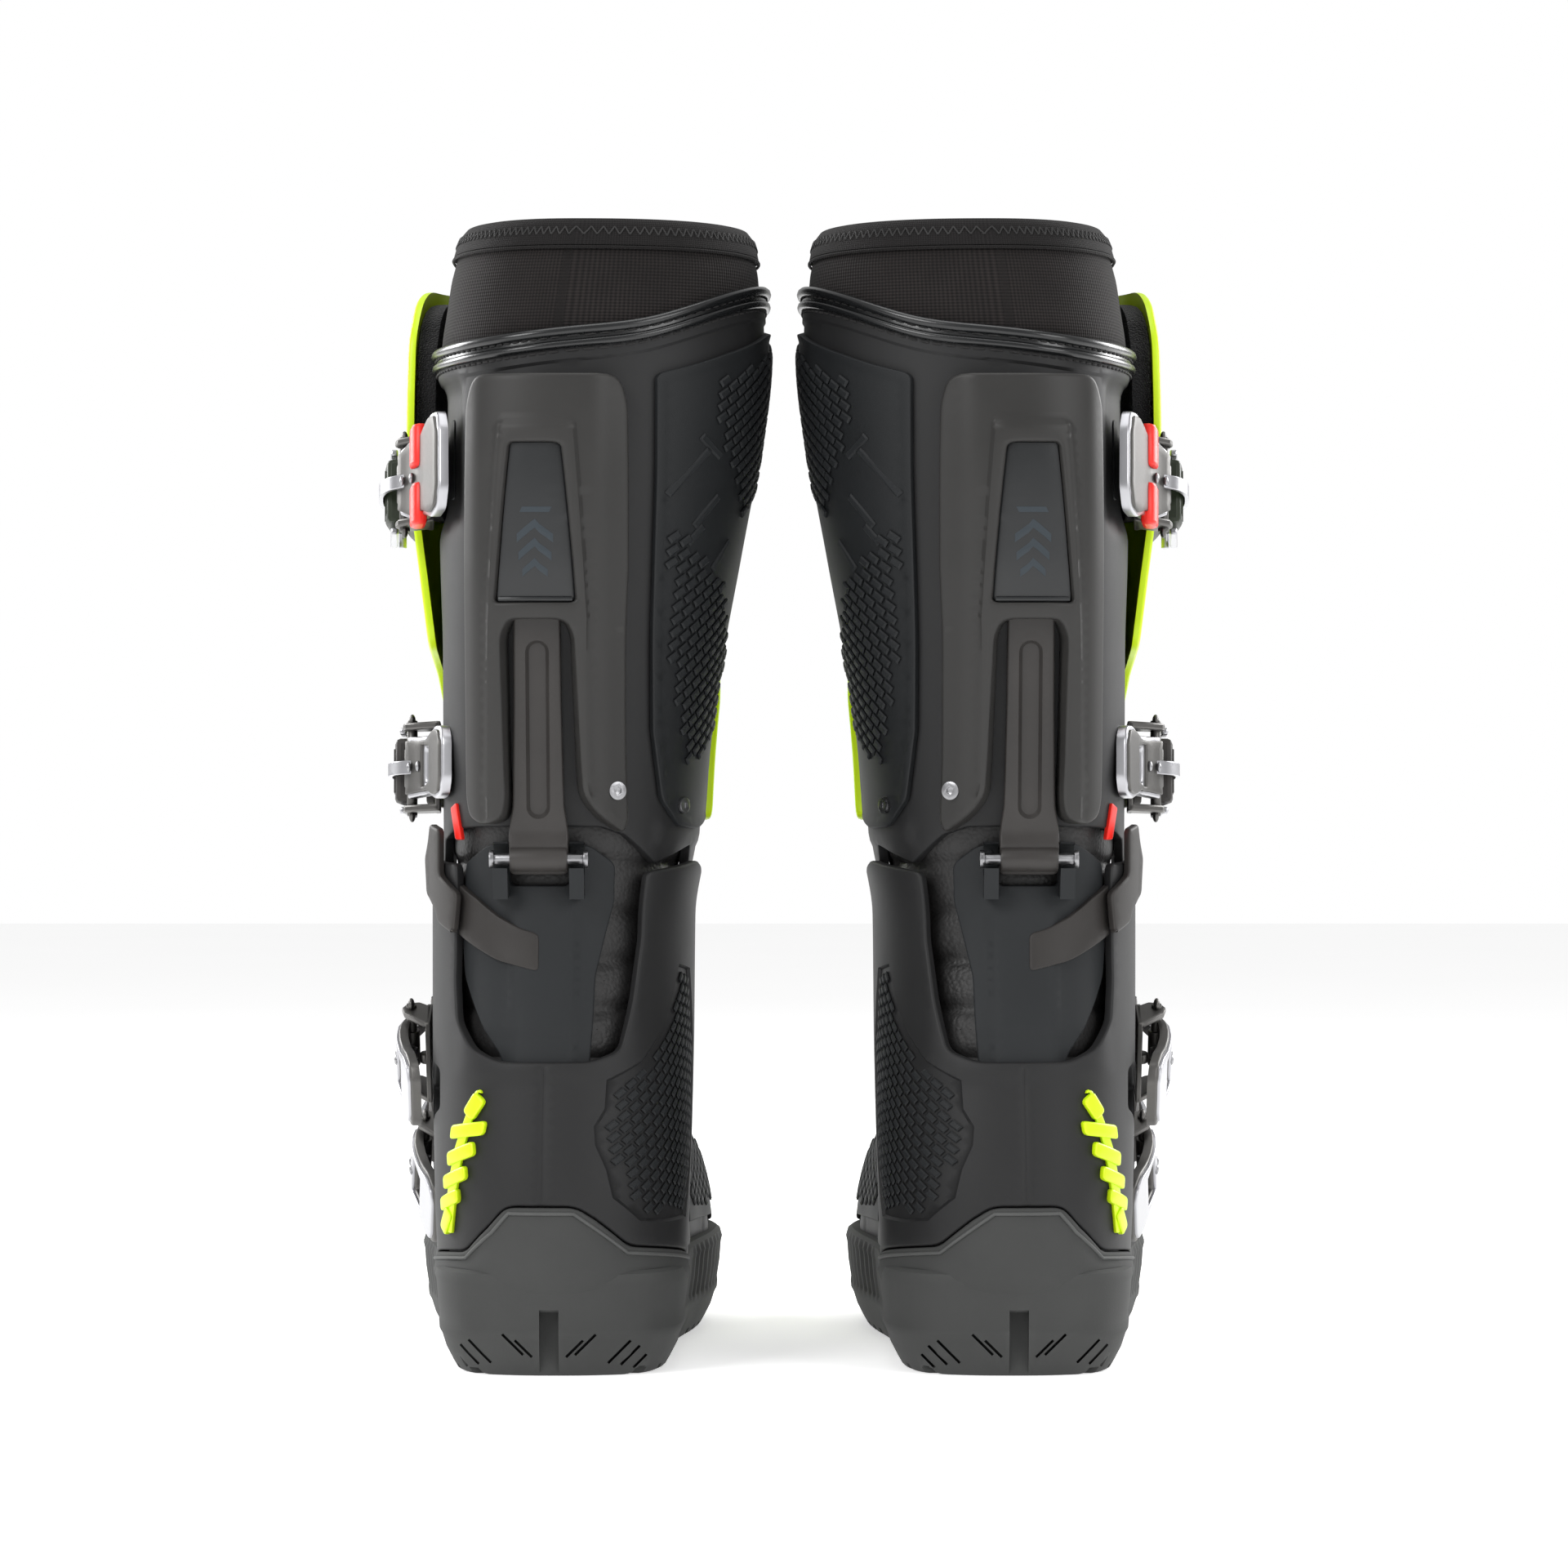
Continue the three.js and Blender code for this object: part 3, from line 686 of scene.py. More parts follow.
def surface_group():
    """Mottled colour, a fine grain and lighter worn edges, for moulded and cast parts."""
    group, given, made = new_group(
        "Moulded Surface",
        [("Color", COLOR, (0.05, 0.05, 0.05, 1)), ("Worn Color", COLOR, (0.15, 0.15, 0.15, 1)),
         ("Roughness", FLOAT, 0.5), ("Grain Scale", FLOAT, 1500.0), ("Wear", FLOAT, 0.5),
         ("Mottle", FLOAT, 0.25)],
        [("Color", COLOR), ("Roughness", FLOAT), ("Height", FLOAT)],
    )
    links = group.links
    where = object_coordinates(group)
    cloud = noise_node(group, where, 22.0, 4.0)
    grain = noise_node(group, where, given.outputs["Grain Scale"], 2.0)
    # Convex edges, found from pointiness, turn towards a lighter colour in noisy patches: a painted edge
    # highlight, broken up like wear.
    point = group.nodes.new("ShaderNodeNewGeometry").outputs["Pointiness"]
    edge = group.nodes.new("ShaderNodeMapRange")
    edge.inputs["From Min"].default_value = 0.52
    edge.inputs["From Max"].default_value = 0.62
    links.new(point, edge.inputs["Value"])
    edge_highlight_and_wear_mask = math_node(group, "MULTIPLY", edge.outputs[0], noise_node(group, where, 160.0, 5.0, 0.7))
    edge_highlight_and_wear_mask = math_node(group, "MULTIPLY", edge_highlight_and_wear_mask, given.outputs["Wear"])
    shade = math_node(group, "MULTIPLY", math_node(group, "SUBTRACT", cloud, 0.5), given.outputs["Mottle"])
    light = group.nodes.new("ShaderNodeHueSaturation")
    links.new(given.outputs["Color"], light.inputs["Color"])
    links.new(math_node(group, "ADD", math_node(group, "MULTIPLY", shade, 2.0), 1.0), light.inputs["Value"])
    mix = group.nodes.new("ShaderNodeMix")
    mix.data_type = "RGBA"
    links.new(edge_highlight_and_wear_mask, mix.inputs["Factor"])
    links.new(light.outputs[0], mix.inputs["A"])
    links.new(given.outputs["Worn Color"], mix.inputs["B"])
    links.new(mix.outputs["Result"], made.inputs["Color"])
    rough = math_node(group, "ADD", given.outputs["Roughness"], math_node(group, "MULTIPLY", shade, 0.8))
    rough = math_node(group, "ADD", rough, math_node(group, "MULTIPLY", grain, 0.08))
    links.new(rough, made.inputs["Roughness"])
    links.new(grain, made.inputs["Height"])
    return group


def weave_group():
    """A diagonal basket weave that follows the piece's own chart."""
    group, given, made = new_group(
        "Basket Weave",
        [("Threads", FLOAT, 900.0), ("Slant", FLOAT, 1.0)],
        [("Height", FLOAT), ("Mask", FLOAT)],
    )
    chart = group.nodes.new("ShaderNodeUVMap")
    chart.uv_map = "Chart"
    split = group.nodes.new("ShaderNodeSeparateXYZ")
    group.links.new(chart.outputs[0], split.inputs[0])
    across = math_node(group, "MULTIPLY", split.outputs[0], given.outputs["Threads"])
    along = math_node(group, "MULTIPLY", split.outputs[1], given.outputs["Threads"])
    slanted = math_node(group, "MULTIPLY", along, given.outputs["Slant"])
    one = math_node(group, "SINE", math_node(group, "ADD", across, slanted))
    two = math_node(group, "SINE", math_node(group, "SUBTRACT", across, slanted))
    height = math_node(group, "MULTIPLY", one, two)
    group.links.new(height, made.inputs["Height"])
    # The mask is high on the threads' crowns and low in the hollows between them, where the woven materials
    # lay painted shade.
    mask = math_node(group, "MULTIPLY", math_node(group, "ADD", height, 1.0), 0.5)
    group.links.new(mask, made.inputs["Mask"])
    return group


def cell_group():
    """The pebbles of leather, or the fibres of felt, as raised cells."""
    group, given, made = new_group(
        "Pebbles", [("Scale", FLOAT, 700.0), ("Blur", FLOAT, 0.3)], [("Height", FLOAT)]
    )
    where = object_coordinates(group)
    cells = group.nodes.new("ShaderNodeTexVoronoi")
    cells.feature = "SMOOTH_F1"
    group.links.new(where, cells.inputs["Vector"])
    group.links.new(given.outputs["Scale"], cells.inputs["Scale"])
    group.links.new(given.outputs["Blur"], cells.inputs["Smoothness"])
    fine = noise_node(group, where, math_node(group, "MULTIPLY", given.outputs["Scale"], 2.4), 3.0)
    lump = math_node(group, "MULTIPLY", cells.outputs["Distance"], -1.0)
    height = math_node(group, "ADD", lump, math_node(group, "MULTIPLY", fine, 0.25))
    group.links.new(height, made.inputs["Height"])
    return group


GROUPS = {}


def group_named(name):
    makers = {"surface": surface_group, "weave": weave_group, "cells": cell_group}
    if name not in GROUPS:
        GROUPS[name] = makers[name]()
    return GROUPS[name]


def place_group(tree, name, **values):
    made = tree.nodes.new("ShaderNodeGroup")
    made.node_tree = group_named(name)
    for label, value in values.items():
        made.inputs[label.replace("_", " ")].default_value = value
    return made


def lit(color, by):
    return tuple(min(1.0, c * by) for c in color[:3]) + (1.0,)


def new_material(name):
    """A new material, with its node tree and its main shader."""
    material = bpy.data.materials.new(name)
    material.use_nodes = True
    return material, material.node_tree, material.node_tree.nodes["Principled BSDF"]


def add_bump(tree, shader, height, strength, distance):
    bumped = tree.nodes.new("ShaderNodeBump")
    bumped.inputs["Strength"].default_value = strength
    bumped.inputs["Distance"].default_value = distance
    tree.links.new(height, bumped.inputs["Height"])
    tree.links.new(bumped.outputs["Normal"], shader.inputs["Normal"])


def moulded(name, color, roughness, grain=1500.0, bump=0.12, edge_highlight_and_wear=0.4, mottle=0.25, metallic=0.0, coat=0.0,
            edge_highlight_and_wear_gain=3.0, depth=0.00025, shine=0.3):
    """A moulded plastic, rubber or cast metal with grain, mottling and worn edges."""
    material, tree, shader = new_material(name)
    shader.inputs["Metallic"].default_value = metallic
    shader.inputs["Specular IOR Level"].default_value = 0.5 if metallic else shine
    shader.inputs["Coat Weight"].default_value = coat
    shader.inputs["Coat Roughness"].default_value = 0.25
    # The lighter colour that convex edges turn to is a painted edge highlight, broken up like wear.
    surface = place_group(
        tree, "surface", Color=tuple(color[:3]) + (1,), Worn_Color=lit(color, edge_highlight_and_wear_gain), Roughness=roughness,
        Grain_Scale=grain, Wear=edge_highlight_and_wear, Mottle=mottle,
    )
    tree.links.new(surface.outputs["Color"], shader.inputs["Base Color"])
    tree.links.new(surface.outputs["Roughness"], shader.inputs["Roughness"])
    add_bump(tree, shader, surface.outputs["Height"], bump, depth)
    return material


def woven(name, color, dark, threads=900.0, bump=0.6, sheen=0.06):
    """A stretch cloth: a slanted basket weave of lighter threads over dark gaps."""
    material, tree, shader = new_material(name)
    shader.inputs["Roughness"].default_value = 0.85
    shader.inputs["Specular IOR Level"].default_value = 0.15
    shader.inputs["Sheen Weight"].default_value = sheen
    shader.inputs["Sheen Roughness"].default_value = 0.5
    weave = place_group(tree, "weave", Threads=threads, Slant=1.0)
    cloud = noise_node(tree, object_coordinates(tree), 60.0, 4.0)
    # The darker gap colour goes where the weave's bump is low: painted shade between the threads.
    share = math_node(tree, "MULTIPLY", weave.outputs["Mask"], math_node(tree, "ADD", cloud, 0.45))
    mix = tree.nodes.new("ShaderNodeMix")
    mix.data_type = "RGBA"
    tree.links.new(share, mix.inputs["Factor"])
    mix.inputs["A"].default_value = tuple(dark[:3]) + (1,)
    mix.inputs["B"].default_value = tuple(color[:3]) + (1,)
    tree.links.new(mix.outputs["Result"], shader.inputs["Base Color"])
    add_bump(tree, shader, weave.outputs["Height"], bump, 0.0003)
    return material


def pebbled(name, color, scale, bump, roughness, sheen=0.0, distance=0.0004, light=1.8):
    """Leather or felt: raised cells with lighter tops."""
    material, tree, shader = new_material(name)
    shader.inputs["Sheen Weight"].default_value = sheen
    shader.inputs["Specular IOR Level"].default_value = 0.35
    cells = place_group(tree, "cells", Scale=scale)
    cloud = noise_node(tree, object_coordinates(tree), 30.0, 4.0)
    ramp = tree.nodes.new("ShaderNodeValToRGB")
    ramp.color_ramp.elements[0].color = lit(color, 0.7)
    ramp.color_ramp.elements[0].position = 0.3
    ramp.color_ramp.elements[1].color = lit(color, light)
    ramp.color_ramp.elements[1].position = 0.75
    tree.links.new(cloud, ramp.inputs[0])
    tree.links.new(ramp.outputs[0], shader.inputs["Base Color"])
    tree.links.new(math_node(tree, "ADD", math_node(tree, "MULTIPLY", cloud, 0.3), roughness - 0.15),
                   shader.inputs["Roughness"])
    add_bump(tree, shader, cells.outputs["Height"], bump, distance)
    return material


# In the moulded finishes, the sixth value sets how strongly convex edges lighten, a painted edge highlight
# broken up like wear, and a later gain, where given, sets how much lighter they turn.
FINISHES = {
    "shell": lambda s: moulded("Shell Plastic", s.shell_color, 0.52, 2200, 0.10, 0.35),
    "plate": lambda s: moulded("Plate Plastic", s.plate_color, 0.42, 2000, 0.08, 0.4),
    "spine": lambda s: moulded("Spine Nylon", (0.030, 0.0275, 0.026), 0.38, 900, 0.12, 0.5, 0.5),
    "window": lambda s: moulded("Window Plastic", (0.011, 0.012, 0.013), 0.3, 1500, 0.05, 0.2, coat=0.3),
    "print": lambda s: moulded("Window Print", (0.026, 0.034, 0.041), 0.5, 1800, 0.05, 0.0),
    "neon": lambda s: moulded("Neon Plastic", s.neon_color, 0.38, 1800, 0.06, 0.0, 0.12, coat=0.25, edge_highlight_and_wear_gain=1.1),
    "sole": lambda s: moulded("Sole Rubber", s.sole_color, 0.72, 1400, 0.2, 0.25, 0.3),
    "lip": lambda s: moulded("Sole Lip Rubber", lit(s.sole_color, 1.5), 0.6, 1400, 0.2, 0.3, 0.3),
    "soft_rubber": lambda s: moulded("Soft Rubber", (0.0125, 0.014, 0.0155), 0.62, 2400, 0.08, 0.2),
    "guard": lambda s: moulded("Guard Rubber", (0.0085, 0.0095, 0.0105), 0.55, 2600, 0.18, 0.25),
    "strap": lambda s: moulded("Strap Rubber", (0.026, 0.0235, 0.022), 0.5, 1800, 0.12, 0.4),
    "ladder": lambda s: moulded("Ladder Strap", (0.012, 0.017, 0.008), 0.38, 1800, 0.08, 0.4),
    "piping": lambda s: moulded("Piping", (0.006, 0.0065, 0.007), 0.22, 600, 0.15, 0.1, coat=0.5),
    "leather": lambda s: pebbled("Pebbled Leather", (0.016, 0.0155, 0.0155), 620.0, 0.5, 0.5),
    "thread": lambda s: pebbled("Thread", (0.014, 0.0135, 0.0135), 2600.0, 0.5, 0.7, light=2.2),
    "gaiter": lambda s: woven("Stretch Twill", (0.020, 0.0165, 0.016), (0.003, 0.0026, 0.0026), 2600.0),
    "binding": lambda s: woven("Knit Binding", (0.014, 0.0125, 0.0125), (0.004, 0.0036, 0.0036), 4200.0, 0.4),
    "felt": lambda s: pebbled("Lining Felt", (0.008, 0.008, 0.009), 1500.0, 0.9, 0.95, 0.2, 0.0008, 1.5),
    "mesh": lambda s: woven("Vent Mesh", (0.035, 0.035, 0.036), (0.002, 0.002, 0.002), 1500.0, 0.9, 0.1),
    "silver": lambda s: moulded("Bright Alloy", (0.44, 0.44, 0.46), 0.3, 700, 0.06, 0.0, 0.2, metallic=1.0),
    "titanium": lambda s: moulded("Satin Alloy", (0.105, 0.102, 0.098), 0.4, 900, 0.08, 0.5, 0.3,
                                  metallic=1.0, edge_highlight_and_wear_gain=2.2),
    "steel": lambda s: moulded("Steel", (0.3, 0.3, 0.31), 0.3, 1200, 0.06, 0.2, 0.4, metallic=1.0, edge_highlight_and_wear_gain=1.6),
    "red": lambda s: moulded("Red Plastic", s.red_color, 0.36, 1500, 0.06, 0.0, 0.15, coat=0.2, edge_highlight_and_wear_gain=1.1),
}
MADE = {}


def finish(name):
    if name not in MADE:
        MADE[name] = FINISHES[name](bpy.context.scene.riding_boots)
    return MADE[name]


# ---- shared outlines, seen from behind unless a name says otherwise ----
TOP_EDGE = np.array([[-90, 380], [-47, 380.5], [4, 385.5], [29, 388.5], [77, 406], [100, 414]])
CUP = [(-60, 42), (-45, 42), (-33, 45.5), (-25, 55), (-18, 63), (7, 63), (14, 58.5), (26, 48), (45, 42),
       (60, 42)]
WINDOW = [(-16.6, 346), (2.2, 346), (7.6, 287), (-22, 287)]
SHIN_EDGE = [(98, 206), (129, 412)]


def edge_height(u, layer=0.0):
    """The height of the cuff's top edge at a turn round the leg."""
    z = np.full(len(u), 395.0)
    for _ in range(6):
        z = eased(TOP_EDGE, SHAFT.point(u, z, layer)[:, 0])[0]
    return z


def seen(chart, points, layer=0.0):
    return [chart.behind(x, z, layer) for x, z in points]


def beside(chart, points, side, layer=0.0, **more):
    return [chart.beside(y, z, side, layer, **more) for y, z in points]


def chart_pieces(chart, points, start, sizes, bevel):
    """Chamfered blocks standing on a chart: sizes are their half width, half height and rise."""
    made = Built()
    half_u, half_v, rise = sizes
    for u, v, turn in points:
        c, s = math.cos(turn), math.sin(turn)

        def place(a, b, h, u=u, v=v, c=c, s=s):
            return (u + a * c - b * s, v + a * s + b * c, h)

        spots, faces = cuboid(place, ((-half_u, half_u), (-half_v, half_v), (start, start + rise)), bevel)
        spots = np.array(spots)
        verts = chart.point(spots[:, 0], spots[:, 1], spots[:, 2])
        made.add(verts, faces, [(p[0], p[1]) for p in spots])
    return made


def lattice(region, pitch_u, pitch_v, turn):
    """Centres of a slanted brick pattern inside a chart outline."""
    region = [tuple(p) for p in region]
    low, high = np.min(region, 0), np.max(region, 0)
    centre = (low + high) / 2
    reach = np.linalg.norm(high - low) / 2 + pitch_u
    c, s = math.cos(turn), math.sin(turn)
    spots = []
    for j in range(-int(reach / pitch_v) - 1, int(reach / pitch_v) + 2):
        for i in range(-int(reach / pitch_u) - 1, int(reach / pitch_u) + 2):
            a, b = (i + 0.5 * (j % 2)) * pitch_u, j * pitch_v
            spots.append((centre[0] + a * c - b * s, centre[1] + a * s + b * c))
    spots = np.array(spots)
    keep = within(spots, region) & (distance_to(spots, region) > 0.4 * pitch_v)
    return [(u, v, turn) for u, v in spots[keep]]


# ---- the cuff ----
def cuff_outline():
    sides = np.linspace(-118, 118, 60)
    top = list(zip(sides, edge_height(sides)))
    # The lug at each ankle pivot, and the front edge above it.
    lug = [(128, 206), (101, 200), (96, 184), (96, 150), (91, 139), (76, 139), (70, 150), (68, 182)]
    fronts = [(110, 300), (122, 240)]
    front_inner, front_outer = SHAFT.beside(108, 402, 1)[0], -SHAFT.beside(108, 380, 1)[0] * 0.985
    loop = [(u, z) for u, z in top if front_outer < u < front_inner]
    loop += beside(SHAFT, fronts + lug + [(60, 197)], 1)
    loop += seen(SHAFT, [(36, 190), (25, 201), (16, 204), (-30, 204)])
    loop += beside(SHAFT, [(40, 203), (60, 199)] + lug[::-1] + fronts[::-1], -1)
    return loop


def cuff_relief(u, v):
    p = SHAFT.point(u, v, 0.0)
    hollow = smooth_step(-p[:, 0], 35, 39) * between(v, 312, 326, 366, 376)
    step = smooth_step(u, 42, 43.5) * between(v, 196, 199, 205, 208) * (p[:, 1] < 80)
    band = smooth_step(v, edge_height(u) - 9.5, edge_height(u) - 8.5)
    return -3.2 * hollow + 1.0 * step + 0.8 * band


def make_cuff():
    """The calf shell, with a seam below its top edge and a hollow on its outer side."""
    sides = np.linspace(-110, 112, 50)
    seam = edge_height(sides) - 9
    lines = [list(zip(sides, seam - 0.6)), list(zip(sides, seam + 0.6))]
    shell = panel(SHAFT, cuff_outline(), -SHELL_WALL, 0.0, cell=3.2, rim=0.9, corner=1.5, lines=lines,
                  relief=cuff_relief)
    pair("cuff", object_of("cuff", shell), [finish("shell")], "cuff", ["cuff_shell"])

    # A darker rubber patch in the outer side's hollow, standing in for a slot: its dark colour is painted
    # shade.
    half_wide, half_high = 2.8, 15
    u, v = SHAFT.beside(33, 342, -1)
    slot = [(u - half_wide, v - half_high), (u + half_wide, v - half_high),
            (u + half_wide, v + half_high), (u - half_wide, v + half_high)]
    made = panel(SHAFT, slot, -3.4, -2.7, 3, 0.3, 2)
    pair("cuff_slot", object_of("cuff_slot", made), [finish("guard")], "cuff")


def make_piping():
    """Two rolled edges with a stitched band between them."""
    front_inner, front_outer = SHAFT.beside(100, 402, 1)[0], SHAFT.beside(100, 381, -1)[0]
    sides = np.linspace(front_outer, front_inner, 110)
    made = Built()
    rolls = ((2.0, 1.5, 1.9), (-2.9, 1.35, 1.6))
    for offset, layer, radius in rolls:
        line = SHAFT.point(sides, edge_height(sides) + offset, layer)
        made.join(tube(line, radius, 10))
    edge = edge_height(sides)
    band = list(zip(sides, edge + 1.5)) + list(zip(sides[::-1], edge[::-1] - 3.0))
    made.join(panel(SHAFT, band, 0.2, 1.3, 2.2, 0.4))
    pair("piping", object_of("piping", made, 50), [finish("piping")], "cuff", ["gaiter_piping"])
    stitches = Built()
    crown = 0.35 * np.sin(np.linspace(0.1, math.pi - 0.1, 4))
    for row, lift in ((0.1, 1.35), (-5.4, 0.75)):
        for u in np.arange(front_outer + 3, front_inner - 3, 3.4):
            ends = np.linspace(u, u + 2.3, 4)
            stitches.join(tube(SHAFT.point(ends, edge_height(ends) + row, lift + crown), 0.42, 6))
    pair("piping_stitches", object_of("piping_stitches", stitches), [finish("thread")], "cuff")


def make_gaiter():
    """The stretch collar: a sheet sewn into a tube, with a stitched binding folded over its top."""
    turns = np.linspace(0, 2 * math.pi, 161)[:-1] * GIRTH
    top, bottom = 421.0, edge_height(turns) - 6
    thickness = 1.3
    rows = []
    for share in np.linspace(0, 1, 22):
        z = bottom + (top - bottom) * share
        swell = 0.9 * math.sin(math.pi * min(1, share * 1.15)) + 0.35 * math.sin(9 * share)
        folds = 0.35 * np.sin(turns / GIRTH * 7 + 3 * share) * (1 - share)
        rows.append((z, -1.6 + swell + folds))
    inner = [(z, layer - thickness) for z, layer in rows]

    def declare(made):
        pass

    tube_of_cloth = object_of("gaiter", sleeve(turns, rows + inner[::-1]), 60)
    pair("gaiter", tube_of_cloth, [finish("gaiter")], "cuff", ["gaiter"], then=declare)

    # The binding is folded over the top edge, and a fine cord marks its lower seam.
    profile = [(419.6, -0.8), (420.4, 0.4), (424, 0.5), (428, -0.1), (430.3, -1.4), (430.6, -2.8),
               (428.5, -3.9), (423, -4.1), (419.6, -3.8)]
    binding = sleeve(turns, profile)
    seam = SHAFT.point(turns, np.full(len(turns), 419.4), 0.15)
    binding.join(tube(seam, 0.6, 6, closed=True))
    pair("gaiter_binding", object_of("gaiter_binding", binding, 50), [finish("binding")], "cuff")
    zigzag = Built()
    teeth = 232
    low, high = 424.2, 427.2
    for k in range(teeth):
        start, end = (2 * math.pi * GIRTH * (k + s) / teeth for s in (0, 1))
        heights = (low, high) if k % 2 else (high, low)
        u, z = np.linspace(start, end, 3), np.linspace(*heights, 3)
        zigzag.join(tube(SHAFT.point(u, z, 0.62 - 0.55 * smooth_step(z, 423, 430)), 0.38, 5))
    pair("gaiter_stitches", object_of("gaiter_stitches", zigzag), [finish("thread")], "cuff")


def make_lining():
    """The padded felt lining of the shaft, with a soft roll at its top."""
    turns = np.linspace(0, 2 * math.pi, 121)[:-1] * GIRTH
    profile = []
    for z in np.linspace(235.4, 408, 24):
        pad = 0.9 * abs(math.sin((z - 235) / 34 * math.pi)) ** 0.6
        profile.append((z, -8.4 - pad))
    profile += [(413, -8.2), (415.5, -6.6), (414, -5.0)]
    profile += [(z, -4.5) for z in (408, 360, 320, 280, 235.4)]
    made = sleeve(turns, profile)
    pair("lining", object_of("lining", made, 60), [finish("felt")], "cuff", ["collar_lining"],
         then=lambda o: o)


# ---- the back plate ----
PLATE_LAYER = 8.0
PLATE_MIDDLE = -6.5


def plate_height(u, v):
    """The plate's outer face: a raised tapering frame round the window and spine, sloping to the sides."""
    x = SHAFT.point(u, v, PLATE_LAYER)[:, 0]
    half = np.interp(v, [195, 281, 300, 352], [18.5, 17.5, 16.5, 12.8])
    off = np.abs(x - PLATE_MIDDLE)
    slope = 3.6 * smooth_step(off, 20, 34)
    frame_rise = 1.5 * (1 - smooth_step(off, half, half + 1.6)) * (1 - smooth_step(v, 352.5, 354.5))
    return frame_rise - slope


def make_rear_plate():
    """The back plate with its window, and the mark printed on the window."""
    outline = [(-30, 371.5), (-34, 361), (-35, 300), (-35, 214), (-33.5, 208), (-28, 204.5), (-20, 206.5),
               (-18.5, 215), (-20, 275), (-17, 281), (3.5, 281), (6.6, 275), (9.5, 215), (16.5, 207),
               (26, 201.5), (28, 206), (28.5, 300), (28, 361), (24, 371.5)]
    edges = ((206, 18.3), (281, 17.5), (300, 16.5), (353, 12.8))
    lines = []
    for side in (-1, 1):
        for off in (0.0, 1.6):
            line = [(PLATE_MIDDLE + side * (half + off), v) for v, half in edges]
            lines.append(seen(SHAFT, line, PLATE_LAYER))
    for v in (352.5, 354.5):
        lines.append(seen(SHAFT, [(PLATE_MIDDLE - 13, v), (PLATE_MIDDLE + 13, v)], PLATE_LAYER))
    plate = panel(SHAFT, seen(SHAFT, outline, PLATE_LAYER), 0.4, 9.4, cell=2.6, rim=1.3, corner=5.0,
                  holes=[seen(SHAFT, WINDOW, PLATE_LAYER)], lines=lines, relief=plate_height, fine=1.6)
    pair("rear_plate", object_of("rear_plate", plate, 40), [finish("plate")], "cuff", ["rear_plate"])
    pane = [(x * 0.99, z) for x, z in WINDOW]
    window = panel(SHAFT, seen(SHAFT, pane, PLATE_LAYER), 7.3, 8.1, 3, 0.3, 1.5)
    # A rod along the window's sill.
    sill = 288.3
    ends = seen(SHAFT, [(-20.6, sill), (6.2, sill)], PLATE_LAYER)
    u = np.linspace(ends[0][0], ends[1][0], 12)
    window.join(tube(SHAFT.point(u, np.full(12, sill), 8.6), 0.9, 8))
    # A plain mark, printed on the window: three chevrons and a bar.
    marks = Built()
    shapes = [
        [(-14, 309), (-7.3, 314.5), (-0.6, 309), (-0.6, 312.2), (-7.3, 317.8), (-14, 312.2)],
        [(-13.4, 302.4), (-7.3, 307.6), (-1.2, 302.4), (-1.2, 305.4), (-7.3, 310.8), (-13.4, 305.4)],
        [(-12, 296.4), (-7.3, 300.4), (-2.6, 296.4), (-2.6, 299.2), (-7.3, 303.4), (-12, 299.2)],
        [(-13, 320.2), (-2, 320.2), (-1, 322.2), (-12, 322.2)],
    ]
    for shape in shapes:
        marks.join(panel(SHAFT, seen(SHAFT, shape, PLATE_LAYER), 7.9, 8.22, 2.5, 0.05, fine=2.0))
    pair("window", object_of("window", window), [finish("window")], "cuff", ["rear_window"])
    pair("window_mark", object_of("window_mark", marks), [finish("print")], "cuff")


# ---- the burn guard on the inner side ----
def guard_outline(inset=0.0):
    top = seen(SHAFT, [(36.5 + inset, 372 - inset), (50, 376 - inset), (62, 381 - inset)])
    front = [(y - 5.5 - inset * 1.2, z) for y, z in SHIN_EDGE]
    return (
        top
        + beside(SHAFT, [(60, 391 - inset), (front[1][0] - 1, 398 - inset)], 1)
        + beside(SHAFT, [(front[0][0], 208 + inset)], 1)
        + beside(SHAFT, [(60, 203 + inset)], 1)
        + seen(SHAFT, [(43 + inset, 204 + inset), (37 + inset, 214), (34 + inset, 240), (35 + inset, 300)])
    )


def make_guard():
    """The guard's skin, with two slanted bands of blocks and embossed bars on it."""
    def relief(u, v):
        border = distance_to(np.stack([u, v], 1), inner)
        outside = ~within(np.stack([u, v], 1), inner)
        return np.where(outside, 0.7 * smooth_step(border, 0.2, 1.0), 0.0)

    inner = dense(guard_outline(3.2), 3.0)
    skin = panel(SHAFT, guard_outline(), 0.4, 1.9, 2.8, 0.5, 2.5, lines=[inner + inner[:1]], relief=relief)
    pair("burn_guard", object_of("burn_guard", skin, 40), [finish("guard")], "cuff", ["burn_guard"])
    low = seen(SHAFT, [(41, 317), (57, 291), (56, 262), (48, 226), (45, 229), (40, 262), (39.5, 300)])
    low = low[:1] + beside(SHAFT, [(52, 291), (80, 270), (70, 240)], 1) + low[3:]
    high = seen(SHAFT, [(57, 371), (58, 352), (64, 334)])
    high += beside(SHAFT, [(50, 318), (80, 330), (98, 392), (60, 384)], 1)
    bricks = lattice(low, 5.6, 3.9, math.radians(38)) + lattice(high, 5.2, 3.7, math.radians(38))
    blocks = chart_pieces(SHAFT, bricks, 1.7, (2.3, 1.45, 1.5), 0.55)
    # Embossed bars between the two patterned bands: place, length and slant.
    bars = ((48, 336, 22, 52), (54, 322, 15, 52), (50, 313, 9, 52), (59, 306, 14, 52), (56, 346, 12, -38))
    for x, z, length, turn in bars:
        u, v = SHAFT.behind(x, z)
        blocks.join(chart_pieces(SHAFT, [(u, v, math.radians(turn))], 1.7, (length / 2, 1.5, 1.1), 0.6))
    pair("guard_blocks", object_of("guard_blocks", blocks, 25), [finish("guard")], "cuff")


